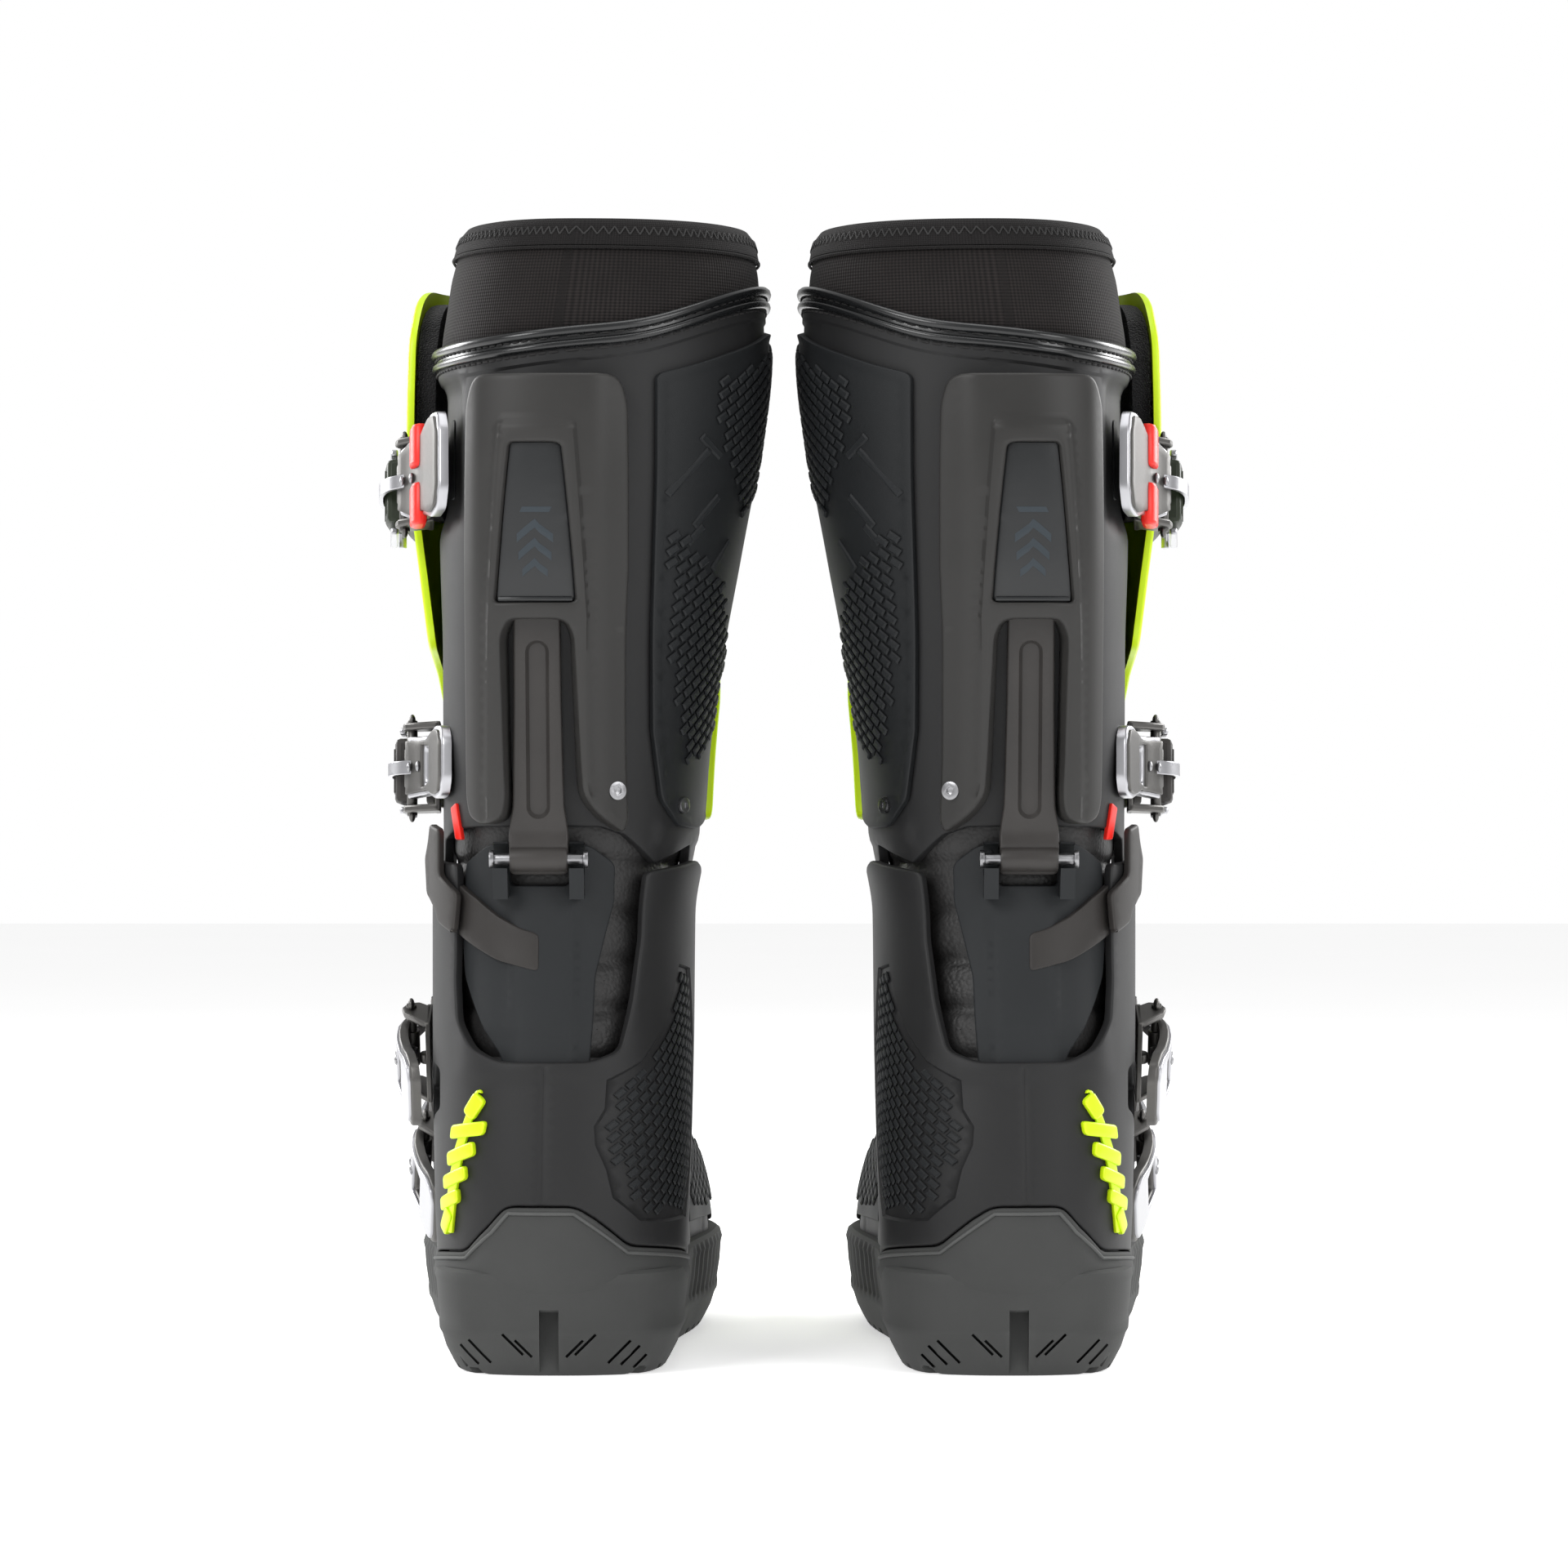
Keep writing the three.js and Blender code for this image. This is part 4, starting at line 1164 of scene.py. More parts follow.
# ---- the shin plate ----
def make_shin_plate():
    """The bright plate down the front, and the felt inside its outer edge."""
    def outer(points):
        return [SHIN.beside(y, z, -1, round_front=True) for y, z in points]

    inner_edge = [SHIN.beside(y, z, 1) for y, z in SHIN_EDGE]
    loop = (
        [inner_edge[1]]
        + [(u, 411) for u in np.linspace(150, 215, 8)]
        + outer([(98, 411), (84, 405), (75, 392), (72, 370), (70, 320), (68, 274), (96, 264), (124, 226),
                 (134, 207)])
        + [(170, 206)]
        + [inner_edge[0]]
    )

    def ridges(u, v):
        middle = math.pi * GIRTH
        centre = 1.6 * (1 - smooth_step(np.abs(u - middle), 14, 24)) * (1 - smooth_step(v, 372, 392))
        edge = np.interp(v, [206, 412], [inner_edge[0][0], inner_edge[1][0]])
        lip = 2.4 * (1 - smooth_step(u, edge + 3, edge + 18)) * (1 - smooth_step(v, 250, 276))
        return centre * smooth_step(v, 220, 240) + lip

    plate = panel(SHIN, loop, 0.7, 3.7, 3.6, 1.1, 6.0, relief=ridges)
    pair("shin_plate", object_of("shin_plate", plate, 40), [finish("neon")], "shin_door",
         ["shin_plate"])
    # The felt that lines the plate's upper outer edge, between plate and collar.
    felt = outer([(110, 407), (96, 405), (86, 400), (79, 388), (76, 370), (75, 330), (82, 322), (120, 322)])
    pad = panel(SHIN, felt, -7.2, 0.5, 3.0, 1.6, 4.0, relief=lambda u, v: 0.3 * np.sin(u) * np.sin(v * 1.3))
    pair("shin_lining", object_of("shin_lining", pad, 60), [finish("felt")], "shin_door",
         then=lambda o: o)


# ---- the ankle's back: leather, Achilles plate, spine link and strap ----
def channels(u, v):
    """The leather's sewn channels: crowned rows, 18 mm high, with a narrow seam between them."""
    row = np.abs(((v - 118) / 18) % 1.0 - 0.5) * 2
    return -1.9 * np.maximum(0, row - 0.35) ** 2 / 0.42 - 0.5 * smooth_step(row, 0.93, 0.99)


def make_leather():
    """The padded flex zone between foot and cuff, with its stitching."""
    turns = np.linspace(0, 2 * math.pi, 141)[:-1] * GIRTH
    count = len(turns)
    outside, inside = -3.9, -7.9
    reach = LAST.point(turns, np.full(count, 130.0), outside)[:, 1]
    low, top = np.interp(reach, [44, 78, 112, 146, 175], [86, 94, 112, 126, 127]), 235
    rows = np.linspace(0, 1, 76)
    verts, chart = [], []
    for share in rows:
        z = low + (top - low) * share
        verts += list(LAST.point(turns, z, outside + channels(turns, z)))
        chart += list(zip(turns, z))
    for share in rows[::-1][::5]:
        z = low + (top - low) * share
        verts += list(LAST.point(turns, z, np.full(count, inside)))
        chart += list(zip(turns, z))
    made = Built().add(verts, ring_faces(len(verts) // count, count), chart)
    blend = ("foot", "cuff", (0, 85, 165), (0, 85, 212))
    pair("leather", object_of("leather", made, 60), [finish("leather")],
         replaces=["flex_bootie"], blend=blend, then=lambda o: o)
    stitches = Built()
    for seam in (127, 145, 163):
        for u in np.arange(-100, 100, 3.6):
            ends = np.linspace(u, u + 2.2, 3)
            line = LAST.point(ends, np.full(3, seam + 1.2), np.array([-4.6, -4.1, -4.6]))
            stitches.join(tube(line, 0.35, 5))
    pair("leather_stitches", object_of("leather_stitches", stitches), [finish("thread")],
         blend=blend)


def make_achilles():
    """The faceted plate behind the ankle."""
    outline = [(-20, 112), (12, 112), (14, 148), (21, 176), (21.5, 190), (12, 197), (6.5, 197.5), (4.6, 182),
               (-18.6, 182), (-20.5, 197.5), (-26, 197.5), (-35.5, 190), (-37, 166), (-35.5, 148),
               (-27.6, 128), (-21.5, 119)]

    def facets(u, v):
        x = LAST.point(u, v, 0.0)[:, 0]
        ridge = 1.92 * (1 - smooth_step(np.abs(x + 5.5), 10.5, 14)) * (1 - smooth_step(v, 170, 184))
        return ridge + 0.5 * between(v, 126, 128, 176, 182)

    lines = []
    for x in (-19, -16, 5, 8):
        lines.append([LAST.behind(x + 0.02 * (z - 112), z) for z in range(116, 182, 6)])
    plate = panel(LAST, seen(LAST, outline), -SHELL_WALL, 0.0, 2.6, 0.8, 2.5, lines=lines, relief=facets)
    # Two ears carry the spine's pin.
    x, y, z = PIN
    radius = 6.5
    turns = np.linspace(-2.6, 2.0, 14)
    for side in (-1, 1):
        ear = [(y + radius * math.cos(a), z + radius * math.sin(a)) for a in turns]
        ear += [(y + 10, z + 5), (y + 12, z - 14), (y - 1, z - 15)]
        near, far = x + side * 11.5, x + side * 17
        verts = [(near, a, b) for a, b in ear] + [(far, a, b) for a, b in ear]
        plate.add(verts, prism_faces(len(ear)))
    pair("achilles_plate", object_of("achilles_plate", plate, 35), [finish("soft_rubber")], "foot",
         ["achilles_plate"])


def new_primitive(add, name, **more):
    bpy.ops.object.select_all(action="DESELECT")
    add(**more)
    made = bpy.context.object
    made.name = name
    return made


def apply_all(obj):
    choose(obj)
    for modifier in list(obj.modifiers):
        bpy.ops.object.modifier_apply(modifier=modifier.name)


def bevelled(obj, width, segments=2, angle=40):
    made = obj.modifiers.new("Bevel", "BEVEL")
    made.width = width
    made.segments = segments
    made.limit_method = "ANGLE"
    made.angle_limit = math.radians(angle)
    made.use_clamp_overlap = True
    apply_all(obj)
    smooth(obj, 40)
    return obj


def joined(objects, name):
    choose(objects[0])
    for obj in objects:
        obj.select_set(True)
    bpy.ops.object.join()
    made = bpy.context.object
    made.name = name
    bpy.ops.object.transform_apply(location=True, rotation=True, scale=True)
    return made


def cross_rod(name, radius, length, at, sides, bevel):
    """A round rod across the boot, its ends bevelled."""
    made = new_primitive(bpy.ops.mesh.primitive_cylinder_add, name, vertices=sides, radius=radius,
                         depth=length, rotation=(0, math.pi / 2, 0), location=at)
    bpy.ops.object.transform_apply(location=True, rotation=True, scale=True)
    return bevelled(made, bevel)


def screw_head(name, at, out, radius, height=1.4, socket=6):
    """A pan-head screw with a sunk socket: made upright, then turned to face out."""
    cylinder = bpy.ops.mesh.primitive_cylinder_add
    made = new_primitive(cylinder, name, vertices=28, radius=radius, depth=height, end_fill_type="NGON")
    hole = new_primitive(cylinder, name + "_socket", vertices=socket, radius=radius * 0.45, depth=height,
                         location=(0, 0, height * 0.62))
    cut = made.modifiers.new("Socket", "BOOLEAN")
    cut.operation = "DIFFERENCE"
    cut.object = hole
    apply_all(made)
    bpy.data.objects.remove(hole)
    bevelled(made, radius * 0.16, 2)
    made.data.transform(Vector(out).to_track_quat("Z", "Y").to_matrix().to_4x4())
    made.data.transform(Matrix.Translation(Vector(at)))
    return made


def make_spine():
    """The link up the back, with a sunk groove down its face, and the pin it turns on."""
    x, y, z = PIN
    lean = -21.6 / 106
    slope = np.array([0, lean, 1.0]) / math.hypot(lean, 1)
    out = np.array([0, -1.0, lean]) / math.hypot(lean, 1)
    groove_low, groove_high, groove_radius = 19.7, 78.5, 4.4

    def relief(u, v):
        middle = np.stack([np.zeros(len(v)), np.clip(v, groove_low, groove_high)], 1)
        off = np.linalg.norm(np.stack([u, v], 1) - middle, axis=1)
        sunk = -1.5 * (1 - smooth_step(off, groove_radius - 1.3, groove_radius))
        lip = 0.35 * np.exp(-(((off - groove_radius - 0.5) / 0.6) ** 2))
        hook = 1.6 * smooth_step(-v, -11, -5) - 4.0 * smooth_step(-v, -1.5, 7.5) ** 2
        return sunk + lip + hook

    outer_layer = 3.4
    chart = Plane((x, y + 4.2 - outer_layer, z), (1, 0, 0), slope, out)
    side = [(11, -6.5), (11, 3), (11.2, 9), (9.6, 20), (8.9, 60), (8.6, 108)]
    outline = [(-11, -6.5)] + side + [(-u, v) for u, v in side[:0:-1]]
    rings = []
    for size in (groove_radius - 1.3, groove_radius):
        ring = []
        for centre, start in ((groove_high, 0), (groove_low, math.pi)):
            for a in np.linspace(start, start + math.pi, 12):
                ring.append((size * math.cos(a), centre + size * math.sin(a)))
        rings.append(ring + ring[:1])
    link = panel(chart, outline, -3.0, 0.0, 1.8, 1.0, 2.6, lines=rings, relief=relief, fine=1.3)
    barrel = cross_rod("barrel", 4.7, 21.6, (x, y, z), 32, 0.8)
    made = joined([object_of("spine", link, 35), barrel], "spine")
    pair("spine", made, [finish("spine")], "spine", ["spine_link"])
    pin = cross_rod("pin", 2.2, 35, (x, y, z), 24, 0.5)
    heads = [screw_head("pin_head", (x + side * 17.6, y, z), (side, 0, 0), 3.4, 1.6) for side in (-1, 1)]
    pair("spine_pin", joined([pin] + heads, "spine_pin"), [finish("steel")], "foot", ["spine_pin"])


def make_ankle_strap():
    """The slanting strap, the bracket that holds its outer end, and the red insert above the bracket."""
    band = seen(LAST, [(-7, 150), (-7, 164), (-13.5, 166), (-22, 170.5), (-30, 177), (-37.5, 183),
                       (-38.5, 165), (-30, 158.5), (-22, 154)], 1)
    strap = panel(LAST, band, 0.3, 3.0, 2.4, 0.7, 2.0)
    bracket = seen(LAST, [(-35.5, 179), (-42.3, 186)], 3)
    bracket += beside(LAST, [(39, 203), (50, 205), (58, 192), (57, 178), (46, 172)], -1, 3)
    bracket += seen(LAST, [(-43, 168), (-37, 163.5)], 3)

    def ridge(u, v):
        return 1.3 * smooth_step(-u, 56, 66)

    plate = panel(LAST, bracket, 4.9, 7.6, 2.6, 1.2, 2.0, relief=ridge)
    strap.join(plate)
    pair("ankle_strap", object_of("ankle_strap", strap, 35), [finish("strap")], "foot",
         ["ankle_strap"])
    insert = beside(SHAFT, [(34, 199), (39, 199), (42, 211), (36, 213)], -1)
    made = panel(SHAFT, insert, -0.5, 1.2, 2, 0.5, 1.2)
    pair("ankle_insert", object_of("ankle_insert", made), [finish("red")], "cuff")


# ---- the foot ----
def make_heel_frame():
    """The frame round the heel with an arm up each side, its patterned grip and its vents."""
    lateral_arm = [(-37, 190), (-37.3, 163), (-37.5, 146), (-36.5, 131), (-30.5, 121), (-21, 116.5)]
    medial_arm = [(12, 116.5), (22.5, 120.5), (27, 140), (30, 162), (32, 187)]
    cup = [(x, z + 0.6) for x, z in CUP]
    side_low = [(64, 39.5), (126, 39.5), (119, 62), (107, 92), (101, 130), (98, 164), (91, 178), (82, 187),
                (60, 191)]
    loop = seen(LAST, medial_arm, 2)
    loop += beside(LAST, side_low[::-1], 1, 2)
    loop += seen(LAST, cup[::-1][1:-1], 2)
    loop += beside(LAST, side_low, -1, 2)
    loop += seen(LAST, lateral_arm, 2)
    # The sunk field of the inner grip.
    field = seen(LAST, [(17.9, 110), (17.3, 99.4), (13.5, 93), (14, 86), (17.9, 77), (20.3, 66.4),
                        (30, 57.3), (38, 56)], 2)
    field += beside(LAST, [(50, 56), (66, 80), (70, 120), (62, 150), (48, 152)], 1, 2)
    field += seen(LAST, [(38, 130), (30, 117)], 2)
    closed = dense(field, 2.5)
    vent = beside(LAST, [(40, 98), (62, 92), (70, 104), (52, 114), (42, 112)], -1, 2)
    gap = beside(LAST, [(66, 60), (88, 58), (94, 78), (80, 88), (68, 82)], -1, 2)

    def relief(u, v):
        spots = np.stack([u, v], 1)
        off = distance_to(spots, closed) * np.where(within(spots, closed), 1, -1)
        sunk = -1.3 * smooth_step(off, 0.0, 1.0)
        seam = -0.7 * (1 - smooth_step(np.abs(u + 3.5), 0.2, 0.9)) * smooth_step(v, 60, 64)
        rolled = 0.9 * smooth_step(v, 108, 114) * (1 - smooth_step(np.abs(u + 2), 24, 34))
        return sunk + seam + rolled

    lines = [[(-3.5 + off, z) for z in range(64, 117, 4)] for off in (-0.9, 0.0, 0.9)]
    for border in (closed, moved_in(closed, 1.0)):
        lines.append(border + border[:1])
    shell = panel(LAST, loop, 0.9, 4.4, 2.7, 1.1, 3.0, holes=[vent, gap], relief=relief, lines=lines,
                  fine=1.8)
    pair("heel_frame", object_of("heel_frame", shell, 38), [finish("shell")], "foot", ["heel_frame"])
    bricks = lattice(moved_in(closed, 3.0), 5.0, 3.4, math.radians(42))
    blocks = chart_pieces(LAST, bricks, 2.9, (2.0, 1.2, 1.3), 0.5)
    pair("heel_blocks", object_of("heel_blocks", blocks, 25), [finish("guard")], "foot")
    mesh = panel(LAST, moved_in(vent, -1.5), 0.2, 0.8, 3, 0.2)
    mesh.join(panel(LAST, moved_in(gap, -1.5), 0.2, 0.8, 3, 0.2))
    pair("vent_mesh", object_of("vent_mesh", mesh), [finish("mesh")], "foot")


def make_heel_badge():
    """A plain raised mark: slanted tread bars along a curved stem."""
    low, layer = 4.3, 4.6
    skew = 1.5
    # Each bar's place, length, width and slant.
    bars = [(-30.5, 100, 10, 5, 62), (-33.5, 91, 15, 5.2, 10), (-36, 82, 14, 5.2, 24),
            (-38.2, 73, 13.5, 5, 24), (-40, 64.5, 12.5, 5, 24), (-41, 56.5, 10.5, 5, 62)]
    made = Built()
    for x, z, length, width, turn in bars:
        u, v = LAST.behind(x, z, layer)
        c, s = math.cos(math.radians(turn)), math.sin(math.radians(turn))
        end, side = length / 2, width / 2
        corners = [(-end, -side), (end - skew, -side), (end, side), (-end + skew, side)]
        loop = [(u + a * c - b * s, v + a * s + b * c) for a, b in corners]
        made.join(panel(LAST, loop, low, 6.9, 2.2, 0.8, 1.6))
    stem = seen(LAST, [(-30, 106), (-34, 96), (-38, 84), (-40.5, 70), (-42, 52), (-39, 52), (-37, 70),
                       (-34.5, 84), (-31, 96), (-27.5, 106)], layer)
    made.join(panel(LAST, stem, low, 6.0, 2.2, 0.8, 1.0))
    pair("heel_badge", object_of("heel_badge", made, 35), [finish("neon")], "foot", ["heel_badge"])


def make_foot_shell():
    """The shell over the foot, the toe cap and the side grips."""
    def side(points, sign):
        return beside(FOOT_TOP, points, sign)

    def toe_turn(u, margin):
        return [(u, a * GIRTH) for a in np.linspace(math.pi - margin, margin, 8)]

    over = math.pi / 2 * GIRTH
    lower = [(y, 24) for y in (100, 140, 180, 220, 260, 285, 300)]
    throat = [(138, 134), (120, 124), (104, 108)]
    heel = [(98, 96), (96, 60)]
    loop = side(lower, 1)
    loop += toe_turn(314.6, 0.5)
    loop += side(lower[::-1], -1)
    loop += side(heel[::-1] + throat[::-1], -1)
    loop += [(157, 1.85 * GIRTH), (162, over), (157, 1.25 * GIRTH)]
    loop += side(throat + heel, 1)

    def relief(u, v):
        turn = v / GIRTH
        folds = 0.9 * np.abs(np.sin((u - 150) / 9 * math.pi)) * between(u, 152, 160, 196, 206)
        folds *= smooth_step(np.sin(turn), 0.55, 0.8)
        seam = -0.8 * np.exp(-(((u - 214 + 20 * np.cos(turn) ** 2) / 1.1) ** 2))
        return folds + seam

    shell = panel(FOOT_TOP, loop, -SHELL_WALL, 0.0, 3.2, 0.8, 2.0, relief=relief)
    # The counter that closes the shell round the heel.
    counter = [(100, 26), (98, 95), (60, 96)]
    counter = beside(LAST, counter, 1) + beside(LAST, counter[::-1], -1)
    shell.join(panel(LAST, counter, -SHELL_WALL, -0.1, 5, 0.5))
    pair("foot_shell", object_of("foot_shell", shell, 40), [finish("shell")], "foot", ["foot_shell"])
    cap_low = [(y, 40) for y in (246, 262, 280, 296)]
    cap_back = [(244, 56), (252, 70)]
    cap = side(cap_low, 1) + toe_turn(314.9, 0.75) + side(cap_low[::-1], -1)
    cap += side(cap_back, -1) + [(262, over)] + side(cap_back[::-1], 1)
    toe = panel(FOOT_TOP, cap, 0.3, 3.2, 3.0, 1.2, 3.0)
    pair("toe_cap", object_of("toe_cap", toe, 40), [finish("shell")], "foot", ["toe_cap"])
    # A patterned grip on each side of the forefoot.
    for sign, name in ((1, "inner"), (-1, "outer")):
        patch = side([(150, 46), (225, 44), (236, 62), (205, 78), (168, 88), (148, 70)], sign)
        grip = panel(FOOT_TOP, patch, 0.2, 2.0, 3.0, 0.7, 3.0)
        bricks = lattice(moved_in(dense(patch, 3), 4), 6.4, 4.2, math.radians(30 * sign))
        grip.join(chart_pieces(FOOT_TOP, bricks, 1.8, (2.5, 1.5, 1.2), 0.5))
        pair(f"grip_{name}", object_of(f"grip_{name}", grip, 30), [finish("guard")], "foot")


# ---- the sole ----
# Sole stations: distance from the heel, outer side, inner side.
SOLE_PLAN = np.array([
    [0, -13, 13],
    [4, -27, 27],
    [12, -37, 37],
    [28, -43.5, 43.5],
    [60, -46, 46],
    [115, -48, 45],
    [150, -52, 48],
    [190, -58, 54],
    [235, -59.5, 57],
    [264, -55, 53],
    [286, -45, 46],
    [302, -32, 34],
    [312, -18, 21],
    [316, -6, 9],
])


def sole_ring(z, grow, count=150):
    """A level ring of the sole, spaced evenly along its edge."""
    inner = [(r[2], r[0]) for r in SOLE_PLAN]
    outer = [(r[1], r[0]) for r in SOLE_PLAN[::-1]]
    line = np.array([(0, -0.6)] + inner + [(1.5, 316.6)] + outer)
    for _ in range(3):
        line = corners_cut(line, np.roll(line, -1, 0))
    line = np.array(moved_in([tuple(p) for p in line], -grow))
    closed = np.vstack([line, line[:1]])
    length = np.concatenate([[0], np.cumsum(np.linalg.norm(np.diff(closed, axis=0), axis=1))])
    at = np.linspace(0, length[-1], count + 1)[:-1]
    x, y = np.interp(at, length, closed[:, 0]), np.interp(at, length, closed[:, 1])
    lift = 10.5 * smooth_step(y, 262, 322) if z < 20 else 0 * y
    waist = 4.5 * between(y, 94, 104, 134, 150) if z < 8 else 0 * y
    return np.stack([x, y, z + lift + waist], 1)


def make_sole():
    """The treaded sole, with the heel cup moulded on it."""
    # Heights, each with how far the ring there is grown.
    levels = [(0.0, -7.0), (0.6, -5.6), (3.0, -4.2), (8, -1.6), (13, 0), (14.6, 0.9), (17.0, 1.1),
              (18.6, 0.5), (26, 1.6), (33, 2.1), (35.2, 2.6), (38, 2.2), (39.2, 0.6), (39.2, -2.4)]
    count = 260
    verts, faces = [], []
    for z, grow in levels:
        ring = sole_ring(z, grow, count)
        if 17 < z < 36:
            # Shallow upright ribs round the forefoot's side.
            ahead = smooth_step(ring[:, 1], 120, 150)
            out = ring[:, :2] - np.array([0, FOOT_MIDDLE])
            out /= np.linalg.norm(out, axis=1)[:, None]
            rib = np.where(np.arange(count) % 4 < 2, 0.6, -0.6)
            ring[:, :2] += out * (ahead * rib)[:, None]
        verts += [tuple(p) for p in ring]
    for i in range(len(levels) - 1):
        for k in range(count):
            m = (k + 1) % count
            faces.append((i * count + k, i * count + m, (i + 1) * count + m, (i + 1) * count + k))
    # Fans close the top and the underside.
    top = (len(levels) - 1) * count
    half_way = 158
    middle = len(verts)
    verts.append((0, half_way, 39.0))
    faces += [(top + k, top + (k + 1) % count, middle) for k in range(count)]
    middle = len(verts)
    verts.append((0, half_way, 1.0))
    faces += [((k + 1) % count, k, middle) for k in range(count)]
    sole = object_of("sole", Built().add(verts, faces), 32)
    # The notch at the back, the slanted grooves beside it, and the corner notches.
    cutters = []

    def cutter(x, z, wide, high, turn, deep, y=-2.0):
        made = new_primitive(bpy.ops.mesh.primitive_cube_add, "cutter", size=1)
        made.scale = (wide, deep, high)
        made.rotation_euler = (0, math.radians(turn), 0)
        made.location = (x, y, z)
        cutters.append(made)

    middle_x = -2.7
    grooves = [(9.5, 10.5, 9), (13.5, 12, 11), (26, 9, 12), (30, 7.5, 10), (33.5, 5, 7)]
    cutter(middle_x, 10, 7.2, 30, 0, 14)
    for side in (-1, 1):
        for x, z, length in grooves:
            cutter(middle_x + side * x, z, 1.0, length, side * 45, 9, 0.5 + 0.012 * x * x)
        cutter(middle_x + side * 35.5, 1, 5, 4, 0, 18, 6)
    # Cross grooves under the forefoot and under the heel.
    for y in range(168, 262, 16):
        for side in (-1, 1):
            cutter(side * 44, 1.2, 24, 3.4, 0, 5, y)
    for y in range(14, 92, 15):
        for side in (-1, 1):
            cutter(side * 34, 0.8, 22, 3.2, 0, 4.4, y)
    tool = joined(cutters, "cutters")
    cut = sole.modifiers.new("Grooves", "BOOLEAN")
    cut.operation = "DIFFERENCE"
    cut.solver = "EXACT"
    cut.use_self = True
    cut.object = tool
    apply_all(sole)
    bpy.data.objects.remove(tool)
    smooth(sole, 32)

    # The cup round the heel.
    top = [LAST.beside(62, 41, -1, 2)] + seen(LAST, CUP[1:-1], 2) + [LAST.beside(62, 41, 1, 2)]
    heel = [LAST.beside(62, 24, -1, 2)] + top + [LAST.beside(62, 24, 1, 2)]
    heel += seen(LAST, [(x, 24) for x in (30, 10, -10, -30)], 2)
    edge = dense(top, 2.0, closed=False)

    def relief(u, v):
        off = distance_to(np.stack([u, v], 1), edge, closed=False)
        sunk = 2.6 * (1 - smooth_step(v, 27, 37)) + 0.1 * np.maximum(0, 30 - v)
        return 1.3 * smooth_step(off, 2.2, 7.0) - 0.2 - sunk

    cup = panel(LAST, heel, 0.4, 5.2, 2.4, 1.3, 2.5, relief=relief, fine=1.8)
    cup_object = object_of("cup", cup, 40)
    made = joined([sole, cup_object], "sole")
    pair("sole", made, [finish("sole")], "foot", ["outsole"])
    lip = Built()
    inside = np.array(moved_in(heel, 2.2))[2:-6]
    path = np.array(dense([tuple(p) for p in inside], 1.5, closed=False))
    lip.join(tube(LAST.point(path[:, 0], path[:, 1], 5.15), 0.9, 8, flat=0.8))
    pair("sole_lip", object_of("sole_lip", lip, 60), [finish("lip")], "foot")


# ---- straps and buckles ----
# x, y, z: the point on the boot's outer side below the lever's hinge. tilt and yaw: the strap's slope and
# the buckle's turn, in degrees. top: the height of the strap's outer face. rise: the hinge's height. half:
# half the lever's width. open: whether the lever has an opening. shaft: on the shaft, or else on the foot.
BUCKLES = [
    dict(x=-48, y=61, z=334, tilt=-10, yaw=4, top=14, rise=12, half=20, open=False, shaft=True),
    dict(x=-46.4, y=82, z=226, tilt=-4, yaw=2, top=14, rise=12, half=14, open=True, shaft=True),
    dict(x=-50.6, y=102, z=118, tilt=24, yaw=0, top=-2.5, rise=9, half=14, open=True, shaft=False),
    dict(x=-48.8, y=148, z=74, tilt=32, yaw=6, top=1.5, rise=9, half=14, open=True, shaft=False),
]
STRAP_WIDTH = 26.0
STRAP_THICKNESS = 3.0
LEVER_LENGTH = 46.0
CATCH = 12.0  # from a lever's hinge forwards to where its strap starts
LADDER_PITCH = 3.4


def slab(name, loop, low, high, bevel=0.6):
    """A bar of a side outline, (out, back), between two places across, with bevelled edges."""
    verts = [(n, t, low) for n, t in loop] + [(n, t, high) for n, t in loop]
    made = object_of(name, Built().add(verts, prism_faces(len(loop))))
    return bevelled(made, bevel, 2)


def round_bar(name, radius, low, high, n, t=0.0, sides=20):
    """A round bar across a buckle, from low to high."""
    made = new_primitive(bpy.ops.mesh.primitive_cylinder_add, name, vertices=sides, radius=radius,
                         depth=high - low, location=(n, t, (low + high) / 2))
    bpy.ops.object.transform_apply(location=True, rotation=True, scale=True)
    return bevelled(made, min(0.5, radius * 0.2), 2)


def rivet(name, n, t, w, radius=2.0):
    """A domed rivet head: a flattened ball."""
    made = new_primitive(bpy.ops.mesh.primitive_uv_sphere_add, name, segments=18, ring_count=10,
                         radius=radius)
    made.scale = (0.5, 1, 1)
    made.location = (n, t, w)
    bpy.ops.object.transform_apply(location=True, rotation=True, scale=True)
    smooth(made, 60)
    return made


def lever_curve(item):
    """How high the lever's middle runs above the boot, from its hinge to its tip."""
    rise = item["rise"]
    if item["shaft"]:
        heights = [rise - 0.5, rise + 0.8, 8.6, 5.4, 3.4, -1.4]
    else:
        heights = [rise + 1.0, rise + 3.2, rise + 3.6, rise + 3.1, rise + 1.1, rise - 3.4]
    return lambda t: np.interp(t, [-6, 3, 9, 15, LEVER_LENGTH - 20, LEVER_LENGTH], heights)


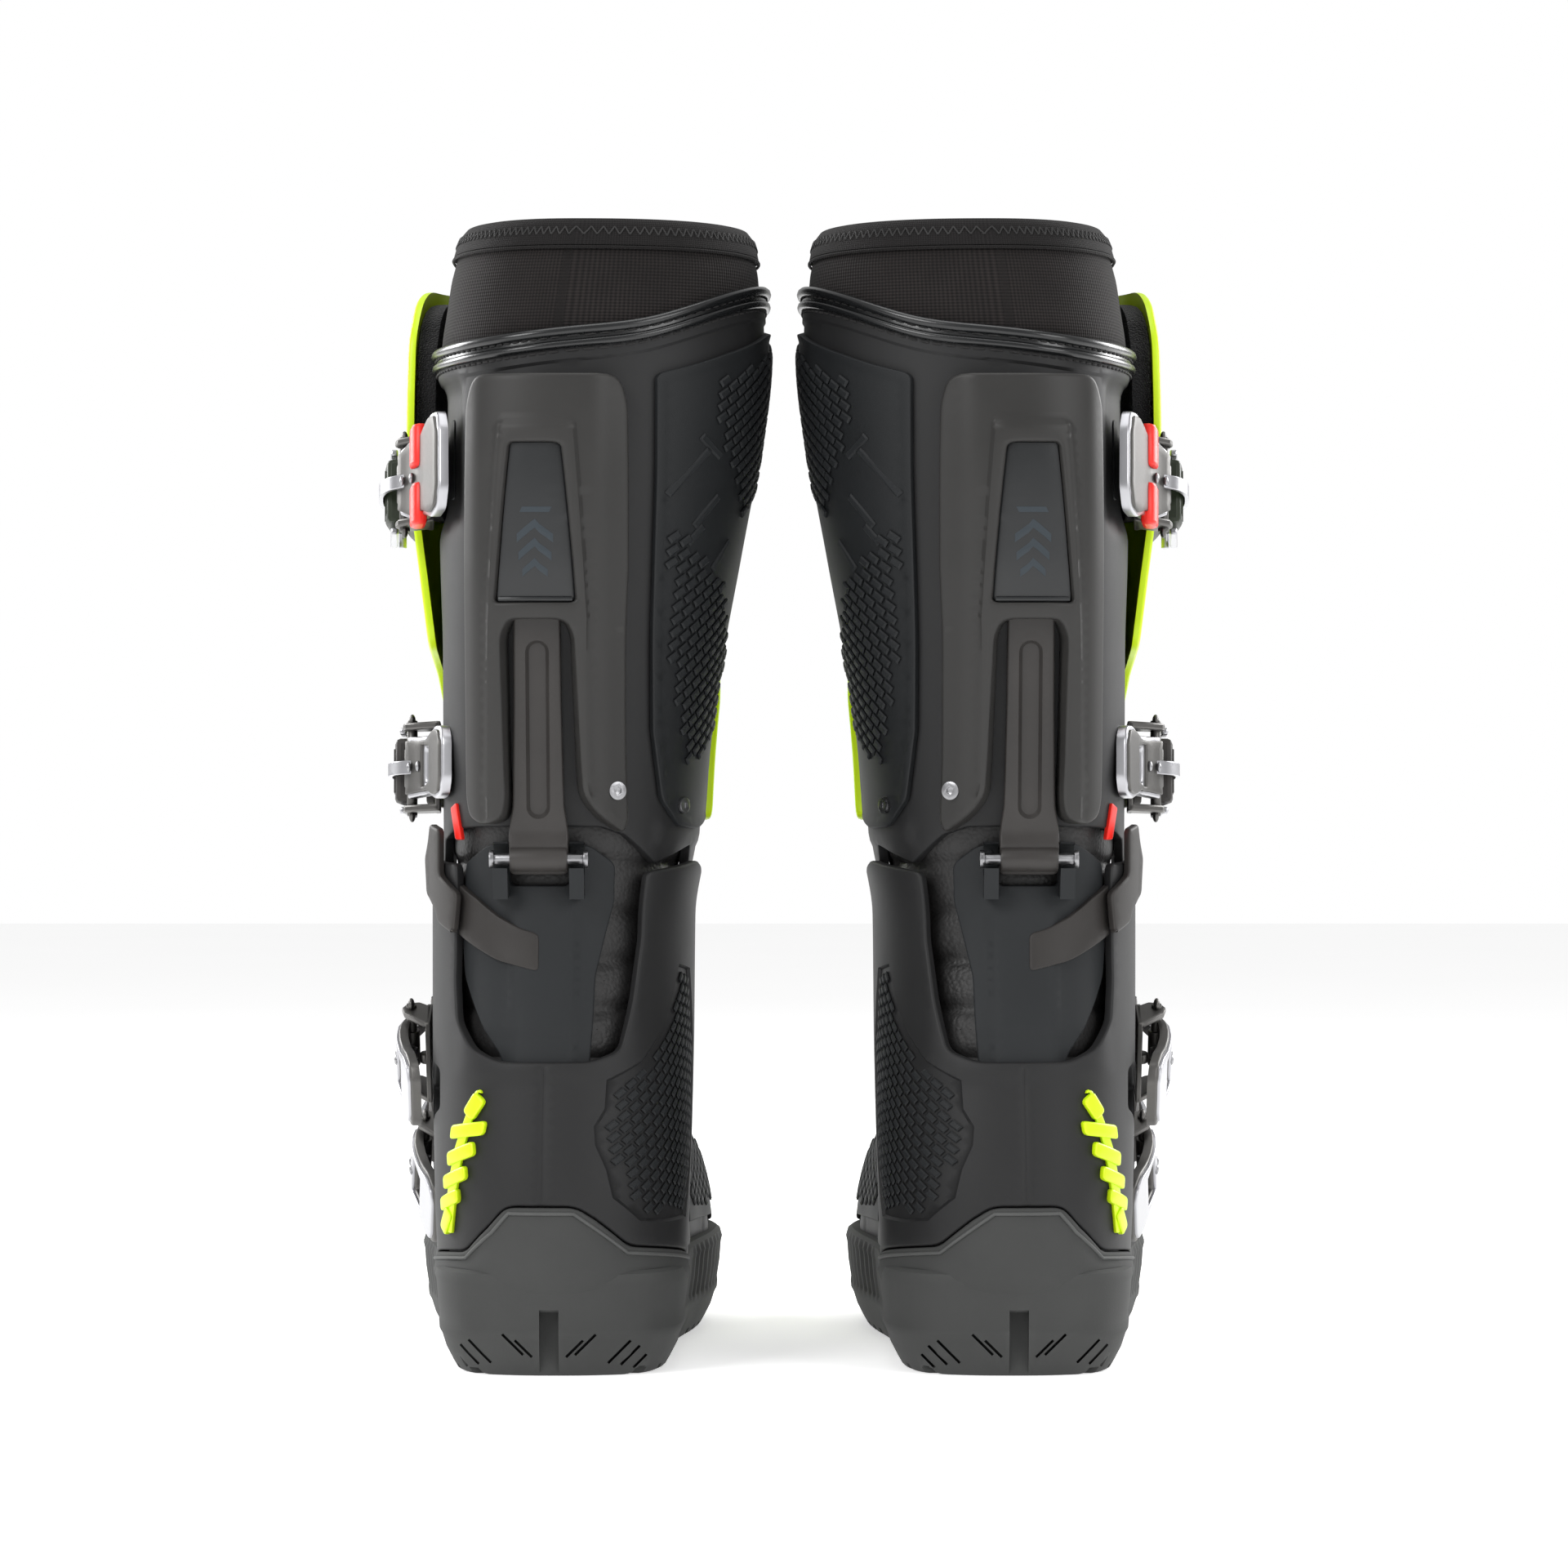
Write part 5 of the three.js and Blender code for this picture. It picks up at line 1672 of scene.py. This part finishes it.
def lever_parts(item):
    """The lever's cast body and, on it, a separate face plate, both with an opening if the item says so."""
    half, curve = item["half"], lever_curve(item)
    waist = half * 0.82

    def bow(u, v):
        return curve(v) - 0.05 * np.abs(u) ** 1.3 / half

    def ridges(u, v):
        grip = smooth_step(v, 32, 34) * (1 - smooth_step(np.abs(u), half * 0.6, half * 0.75))
        return 0.5 * np.abs(np.sin(v / 2.4)) * grip

    face = Plane((0, 0, 0), (0, 0, 1), (0, 1, 0), (1, 0, 0), bow=bow)
    edge = [(11, -5), (12, 2), (waist, 10), (waist, 22), (half, 33), (half * 0.94, 42), (half * 0.55, 46)]
    outline = [(-11, -5)] + edge + [(-u, v) for u, v in edge[:0:-1]]
    holes, plate_holes = [], []
    if item["open"]:
        window = [(-half * 0.5, 14), (half * 0.5, 14), (half * 0.42, 26), (-half * 0.42, 26)]
        holes = [window]
        plate_holes = [[(u * 1.15, 20 + (v - 20) * 1.15) for u, v in window]]
    body = panel(face, outline, -2.6, 1.0, 2.2, 0.9, 2.4, holes=holes, relief=ridges)
    inset = moved_in(dense(rounded(outline, 2.4), 2.0), 1.6)
    plate = panel(face, inset, 1.0, 2.1, 2.4, 0.5, holes=plate_holes)
    return body, plate


def local_to_boot(item):
    """From a buckle's own lengths, out, back and across, to the boot's frame."""
    slope, turn = math.radians(item["tilt"]), math.radians(item["yaw"])
    out = Vector((-math.cos(turn), -math.sin(turn), 0))
    back = Matrix.Rotation(-slope, 3, out) @ Vector((math.sin(turn), -math.cos(turn), 0))
    across = out.cross(back)
    turned = Matrix((out, back, across)).transposed().to_4x4()
    return Matrix.Translation((item["x"], item["y"], item["z"])) @ turned


def placed(obj, item):
    obj.data.transform(local_to_boot(item))
    obj.data.update()
    return obj


def both_sides(make):
    """The pieces that make(1) and make(-1) give."""
    return [make(1), make(-1)]


def buckle_base(item, name):
    """The foot riveted to the boot, two cheeks, the lever's hinge pin with its spring, and a screw."""
    rise = item["rise"]
    inside, outside = STRAP_WIDTH / 2 + 1.4, STRAP_WIDTH / 2 + 4.2
    cheek = [(0.9, 14), (3, 14), (rise + 2.6, 4.4), (rise + 3.6, 0), (rise + 1.5, -4.2), (rise - 3, -5),
             (0.9, -1)]
    parts = [slab("foot", [(0.9, -3), (3, -3), (3, 14), (0.9, 14)], -outside, outside, 0.5)]
    parts += both_sides(lambda s: slab("cheek", cheek, *sorted((s * inside, s * outside)), 0.8))
    parts += [round_bar("hinge", 2.0, -outside - 1.2, outside + 1.2, rise)]
    parts += both_sides(lambda s: rivet("hinge_head", rise, 0, s * (outside + 1.0), 2.6))
    parts += [round_bar("spring", 3.0, -7.4, 7.4, rise)]
    parts += [round_bar("screw", 2.4, -2, 2, 3.2, 9)]
    return placed(joined(parts, name), item)


def bail(item, name):
    """The bright loop that the lever pulls: a flat band from the hinge round the strap's end."""
    rise, top = item["rise"], item["top"]
    if item["shaft"]:
        path = [(rise - 2, 7), (rise + 4.5, 3), (top + 6.6, -6), (top + 7.0, -18), (top + 6.2, -30),
                (top + 2.5, -37.5), (top - 1.5, -38)]
    else:
        path = [(rise - 2, 6), (rise + 3.5, 1), (rise + 1.5, -9), (top + 7.6, -20), (top + 6.4, -31),
                (top + 1.5, -37.5)]
    line = np.array(path, float)
    for _ in range(2):
        line = np.vstack([line[:1], corners_cut(line[:-1], line[1:]), line[-1:]])
    ahead = np.gradient(line, axis=0)
    ahead /= np.linalg.norm(ahead, axis=1)[:, None]
    thickness = 1.8
    aside = np.stack([ahead[:, 1], -ahead[:, 0]], 1) * thickness / 2
    loop = [tuple(p) for p in np.vstack([line + aside, (line - aside)[::-1]])]
    parts = [slab("band", loop, -2.6, 2.6, 0.4)]
    reach = STRAP_WIDTH / 2 + 3.6
    parts.append(round_bar("cross", 1.5, -reach, reach, path[-1][0], path[-1][1]))
    side = [(top + 0.4, -12), (top + 3.2, -12), (top + 3.2, -38), (top + 0.4, -38)]
    parts += both_sides(lambda s: slab("arm", side, *sorted((s * (reach - 2.6), s * reach)), 0.7))
    return placed(joined(parts, name), item)


def strap_band(item):
    """The strap's outline on the shin, from the catch forwards round the front to its inner end."""
    slope = math.radians(item["tilt"])
    c, s = math.cos(slope), math.sin(slope)
    half = STRAP_WIDTH / 2
    base_y, base_z = item["y"] + CATCH * c, item["z"] + CATCH * s
    reaches = (0, 20, 40, 60, 75)
    edges = []
    for side in (-1, 1):
        spots = [(base_y + c * r - s * side * half, base_z + s * r + c * side * half) for r in reaches]
        edges.append([SHIN.beside(min(y, 140), z, -1, 4, round_front=True) for y, z in spots])
    low, high = edges
    over = math.pi * GIRTH - 20
    low.append((over, low[-1][1] + s * 22))
    high.append((over, high[-1][1] + s * 22))
    tip = (over - 4, (low[-1][1] + high[-1][1]) / 2)
    return low + [tip] + high[::-1]


def wrapped_strap(item):
    """The strap's solid: points of the sheet just above the boot, found along rays from inside the boot."""
    slope = math.radians(item["tilt"])
    c, s = math.cos(slope), math.sin(slope)
    half = STRAP_WIDTH / 2
    start_y, start_z = item["y"] + CATCH * c, item["z"] + CATCH * s
    centre_y, centre_z = start_y + 58 * c, start_z + 58 * s - 20
    angles = np.linspace(math.radians(-12), math.radians(150), 70)
    across = np.linspace(-half, half, 7)
    inner, outer, edge_fall = 0.7, 0.7 + STRAP_THICKNESS, 0.5
    verts, faces = [], []
    for layer in (inner, outer):
        starts, steps, layers = [], [], []
        for a in angles:
            level, up = -math.cos(a), math.sin(a)
            for w in across:
                at_edge = layer == outer and abs(w) > half - 0.1
                step = np.array([level, 0.9 * c * level + 0.25 * up, 0.9 * s * level + up])
                starts.append((-6.0, centre_y - s * w, centre_z + c * w))
                steps.append(step / np.linalg.norm(step))
                layers.append(layer - edge_fall * at_edge)
        verts.append(cast(np.array(starts), np.array(steps), 150, np.array(layers)))
    rows, wide = len(angles), len(across)
    number = lambda k, i, j: k * rows * wide + i * wide + j
    for i in range(rows - 1):
        for j in range(wide - 1):
            faces.append((number(0, i, j), number(0, i, j + 1), number(0, i + 1, j + 1), number(0, i + 1, j)))
            faces.append((number(1, i, j), number(1, i + 1, j), number(1, i + 1, j + 1), number(1, i, j + 1)))
        for j in (0, wide - 1):
            faces.append((number(0, i, j), number(0, i + 1, j), number(1, i + 1, j), number(1, i, j)))
    for i in (0, rows - 1):
        for j in range(wide - 1):
            faces.append((number(0, i, j), number(1, i, j), number(1, i, j + 1), number(0, i, j + 1)))
    return Built().add(np.concatenate(verts), faces)


def make_lever(n, item):
    """The lever's body, its face plate and its two rivets."""
    body, plate = lever_parts(item)
    body_finish, plate_finish = ("silver", "titanium") if item["shaft"] else ("titanium", "silver")
    name = f"buckle_{n}_lever"
    pair(name, placed(object_of("lever", body, 40), item), [finish(body_finish)], f"lever_{n}",
         [name])
    pair(name + "_plate", placed(object_of("lever_plate", plate, 40), item), [finish(plate_finish)],
         f"lever_{n}")
    rivets = [rivet("rivet", float(lever_curve(item)(t)) + 2.0, t, 0.0, 2.1) for t in (5.5, 11.0)]
    pair(f"buckle_{n}_rivets", placed(joined(rivets, "rivets"), item), [finish("steel")], f"lever_{n}")


def make_pads():
    """Two red pads on the uppermost lever, either side of its bail."""
    item = BUCKLES[0]
    half, gap = item["half"] - 0.5, 3.2
    side = [(4.4, 9.5), (8.8, 8.5), (10.2, 11), (9.4, 18), (7.4, 20.5), (3.6, 20)]
    pads = [slab("pad", side, low, high, 1.4) for low, high in ((gap, half), (-half, -gap))]
    pair("buckle_1_pads", placed(joined(pads, "pads"), item), [finish("red")], "lever_1")


def make_strap(n, item, body):
    """The strap over the front, with a wedge-shaped end and a ladder of teeth under the bail."""
    top = item["top"]
    if item["shaft"]:
        band = panel(SHIN, strap_band(item), 4.2, 4.2 + STRAP_THICKNESS, 3.0, 0.8, 3.0)
    else:
        band = wrapped_strap(item)
    strap = object_of("strap", band, 40)
    side = [(top - 3, -9), (top + 4.6, -10), (top + 5.2, -20), (top + 3.5, -31), (top - 3, -34)]
    end = [slab("wedge", side, -12.4, 12.4, 1.8)]
    for t in np.arange(-13, -30, -LADDER_PITCH):
        tooth = [(top + 3.6, t), (top + 5.6, t - 0.4), (top + 4.0, t - 2.6)]
        end.append(slab("tooth", tooth, -8.5, 8.5, 0.25))
    made = joined([strap, placed(joined(end, "end"), item)], "strap")
    name = f"buckle_{n}_strap"
    pair(name, made, [finish("ladder" if n == 1 else "strap")], body, [name])


def make_buckles():
    for n, item in enumerate(BUCKLES, 1):
        fixed, swinging = ("cuff", "shin_door") if item["shaft"] else ("foot", "foot")
        name = f"buckle_{n}_base"
        pair(name, buckle_base(item, name), [finish("titanium")], fixed, [name])
        make_lever(n, item)
        name = f"buckle_{n}_bail"
        pair(name, bail(item, name), [finish("silver")], swinging)
        make_strap(n, item, swinging)


def make_screws():
    """The screws through the back plate's inner leg and the guard's lower corner."""
    made = []
    for x, z, radius, layer in ((22.3, 217.5, 3.4, 7.0), (46.6, 212.0, 3.0, 2.7)):
        u, v = SHAFT.behind(x, z, layer)
        at, ahead = SHAFT.point([u, u], [v, v], np.array([layer, layer + 4]))
        made.append(screw_head("screw", at, ahead - at, radius, 1.8))
    pair("screws", joined(made, "screws"), [finish("steel")], "cuff")


# ---- the add-on ----
class RidingBootSettings(bpy.types.PropertyGroup):
    """The colours and the view of the pair."""

    shell_color: bpy.props.FloatVectorProperty(
        name="Shell", description="Colour of the moulded shells", subtype="COLOR", size=3,
        default=(0.0125, 0.0125, 0.013), min=0, max=1)
    plate_color: bpy.props.FloatVectorProperty(
        name="Back Plate", description="Colour of the raised back plate", subtype="COLOR", size=3,
        default=(0.024, 0.0232, 0.0222), min=0, max=1)
    neon_color: bpy.props.FloatVectorProperty(
        name="Accent", description="Colour of the bright shin plate and badge", subtype="COLOR", size=3,
        default=(0.60, 0.84, 0.004), min=0, max=1)
    sole_color: bpy.props.FloatVectorProperty(
        name="Sole", description="Colour of the rubber sole", subtype="COLOR", size=3,
        default=(0.044, 0.045, 0.044), min=0, max=1)
    red_color: bpy.props.FloatVectorProperty(
        name="Pads", description="Colour of the buckles' pads", subtype="COLOR", size=3,
        default=(0.80, 0.02, 0.012), min=0, max=1)
    camera_distance: bpy.props.FloatProperty(
        name="Camera Distance", description="From the camera to the middle of the pair", default=2.35,
        min=0.5, max=10, unit="LENGTH")
    camera_height: bpy.props.FloatProperty(
        name="Camera Height", description="Height of the camera above the floor", default=0.22,
        min=0, max=3, unit="LENGTH")


def operator(name, label, text, *makers):
    """An operator class that runs one group's makers."""

    def execute(self, context):
        for maker in makers:
            maker()
        return {"FINISHED"}

    return type(
        "RIDING_BOOTS_OT_" + name, (bpy.types.Operator,),
        {"bl_idname": "riding_boots." + name, "bl_label": label, "__doc__": text, "execute": execute,
         "bl_options": {"REGISTER", "UNDO"}},
    )


def make_floor():
    """A pale, dull floor that gives off a little light of its own, so that it stays white to its far edge."""
    floor = new_primitive(bpy.ops.mesh.primitive_plane_add, "floor", size=14, location=(0, 0, 0))
    material, tree, shader = new_material("Floor")
    shader.inputs["Roughness"].default_value = 0.9
    shader.inputs["Specular IOR Level"].default_value = 0.1
    shader.inputs["Emission Color"].default_value = (1, 1, 1, 1)
    shader.inputs["Emission Strength"].default_value = 0.5
    ramp = tree.nodes.new("ShaderNodeValToRGB")
    ramp.color_ramp.elements[0].color = (0.86, 0.86, 0.86, 1)
    ramp.color_ramp.elements[1].color = (0.9, 0.9, 0.9, 1)
    tree.links.new(noise_node(tree, object_coordinates(tree), 3.0), ramp.inputs[0])
    tree.links.new(ramp.outputs[0], shader.inputs["Base Color"])
    floor.data.materials.append(material)


def make_world():
    """The backdrop shows white, and lights the boots less than it shows."""
    world = bpy.data.worlds.new("Studio")
    bpy.context.scene.world = world
    world.use_nodes = True
    tree = world.node_tree
    shown = tree.nodes["Background"]
    shown.inputs["Color"].default_value = (1, 1, 1, 1)
    soft = tree.nodes.new("ShaderNodeBackground")
    soft.inputs["Strength"].default_value = 0.6
    choice = tree.nodes.new("ShaderNodeMixShader")
    tree.links.new(tree.nodes.new("ShaderNodeLightPath").outputs["Is Camera Ray"], choice.inputs[0])
    tree.links.new(soft.outputs[0], choice.inputs[1])
    tree.links.new(shown.outputs[0], choice.inputs[2])
    tree.links.new(choice.outputs[0], tree.nodes["World Output"].inputs["Surface"])
    bpy.context.scene.view_settings.view_transform = "Standard"


def make_lights():
    """Soft square lamps aimed at the middle of the boots: name, place, watts and size."""
    lights = (
        ("key", (-1.5, -1.7, 1.5), 30, 1.1),
        ("fill", (1.6, -1.6, 1.1), 17, 1.1),
        ("rim_left", (-1.5, 1.1, 0.9), 26, 0.9),
        ("rim_right", (1.5, 1.1, 0.9), 26, 0.9),
        ("top", (0, -0.2, 2.2), 16, 1.5),
    )
    target = Vector((0, 0, 0.2))
    for name, place, power, size in lights:
        data = bpy.data.lights.new(name, "AREA")
        data.energy = power
        data.size = size
        lamp = bpy.data.objects.new(name, data)
        lamp.location = place
        lamp.rotation_euler = (target - Vector(place)).to_track_quat("-Z", "Y").to_euler()
        bpy.context.scene.collection.objects.link(lamp)


def make_camera():
    """A long lens, level, behind the boots."""
    settings = bpy.context.scene.riding_boots
    data = bpy.data.cameras.new("Camera")
    data.sensor_width = 36
    data.lens = 136.2
    camera = bpy.data.objects.new("Camera", data)
    camera.location = (0, -settings.camera_distance, settings.camera_height)
    camera.rotation_euler = (math.radians(90), 0, 0)
    bpy.context.scene.collection.objects.link(camera)
    bpy.context.scene.camera = camera


OPERATORS = [
    operator("stage", "Stage", "Floor, backdrop, lights and camera", make_floor, make_world, make_lights,
             make_camera),
    operator("sole", "Soles", "The treaded soles with their heel cups", make_sole),
    operator("foot", "Foot Shells", "Foot shells, toe caps and side grips", make_foot_shell),
    operator("heel", "Heel Frames", "The frames round the heels, their grips, vents and badges",
             make_heel_frame, make_heel_badge),
    operator("ankle", "Ankles", "Leather, Achilles plates, spine links and ankle straps",
             make_leather, make_achilles, make_spine, make_ankle_strap),
    operator("cuff", "Cuffs", "Calf shells with their rolled piping", make_cuff, make_piping),
    operator("back_plate", "Back Plates", "The raised back plates, windows and screws",
             make_rear_plate, make_screws),
    operator("guard", "Burn Guards", "The patterned inner guards", make_guard),
    operator("collar", "Collars", "Stretch collars, bindings and linings", make_gaiter, make_lining),
    operator("shin", "Shin Plates", "The bright shin plates and their felt", make_shin_plate),
    operator("buckles", "Buckles", "Straps, levers, bails and pads", make_buckles, make_pads),
]


class RIDING_BOOTS_PT_panel(bpy.types.Panel):
    """Lists the settings and the pieces."""

    bl_label = "Riding Boots"
    bl_idname = "RIDING_BOOTS_PT_panel"
    bl_space_type = "VIEW_3D"
    bl_region_type = "UI"
    bl_category = "Riding Boots"

    def draw(self, context):
        settings = context.scene.riding_boots
        for name in ("shell_color", "plate_color", "neon_color", "sole_color", "red_color", "camera_distance",
                     "camera_height"):
            self.layout.prop(settings, name)
        for made in OPERATORS:
            self.layout.operator(made.bl_idname)


CLASSES = [RidingBootSettings, *OPERATORS, RIDING_BOOTS_PT_panel]


def register():
    for made in CLASSES:
        bpy.utils.register_class(made)
    bpy.types.Scene.riding_boots = bpy.props.PointerProperty(type=RidingBootSettings)


def unregister():
    del bpy.types.Scene.riding_boots
    for made in reversed(CLASSES):
        bpy.utils.unregister_class(made)


def main():
    register()
    for made in OPERATORS:
        group, name = made.bl_idname.split(".")
        getattr(getattr(bpy.ops, group), name)()


if __name__ == "__main__":
    main()
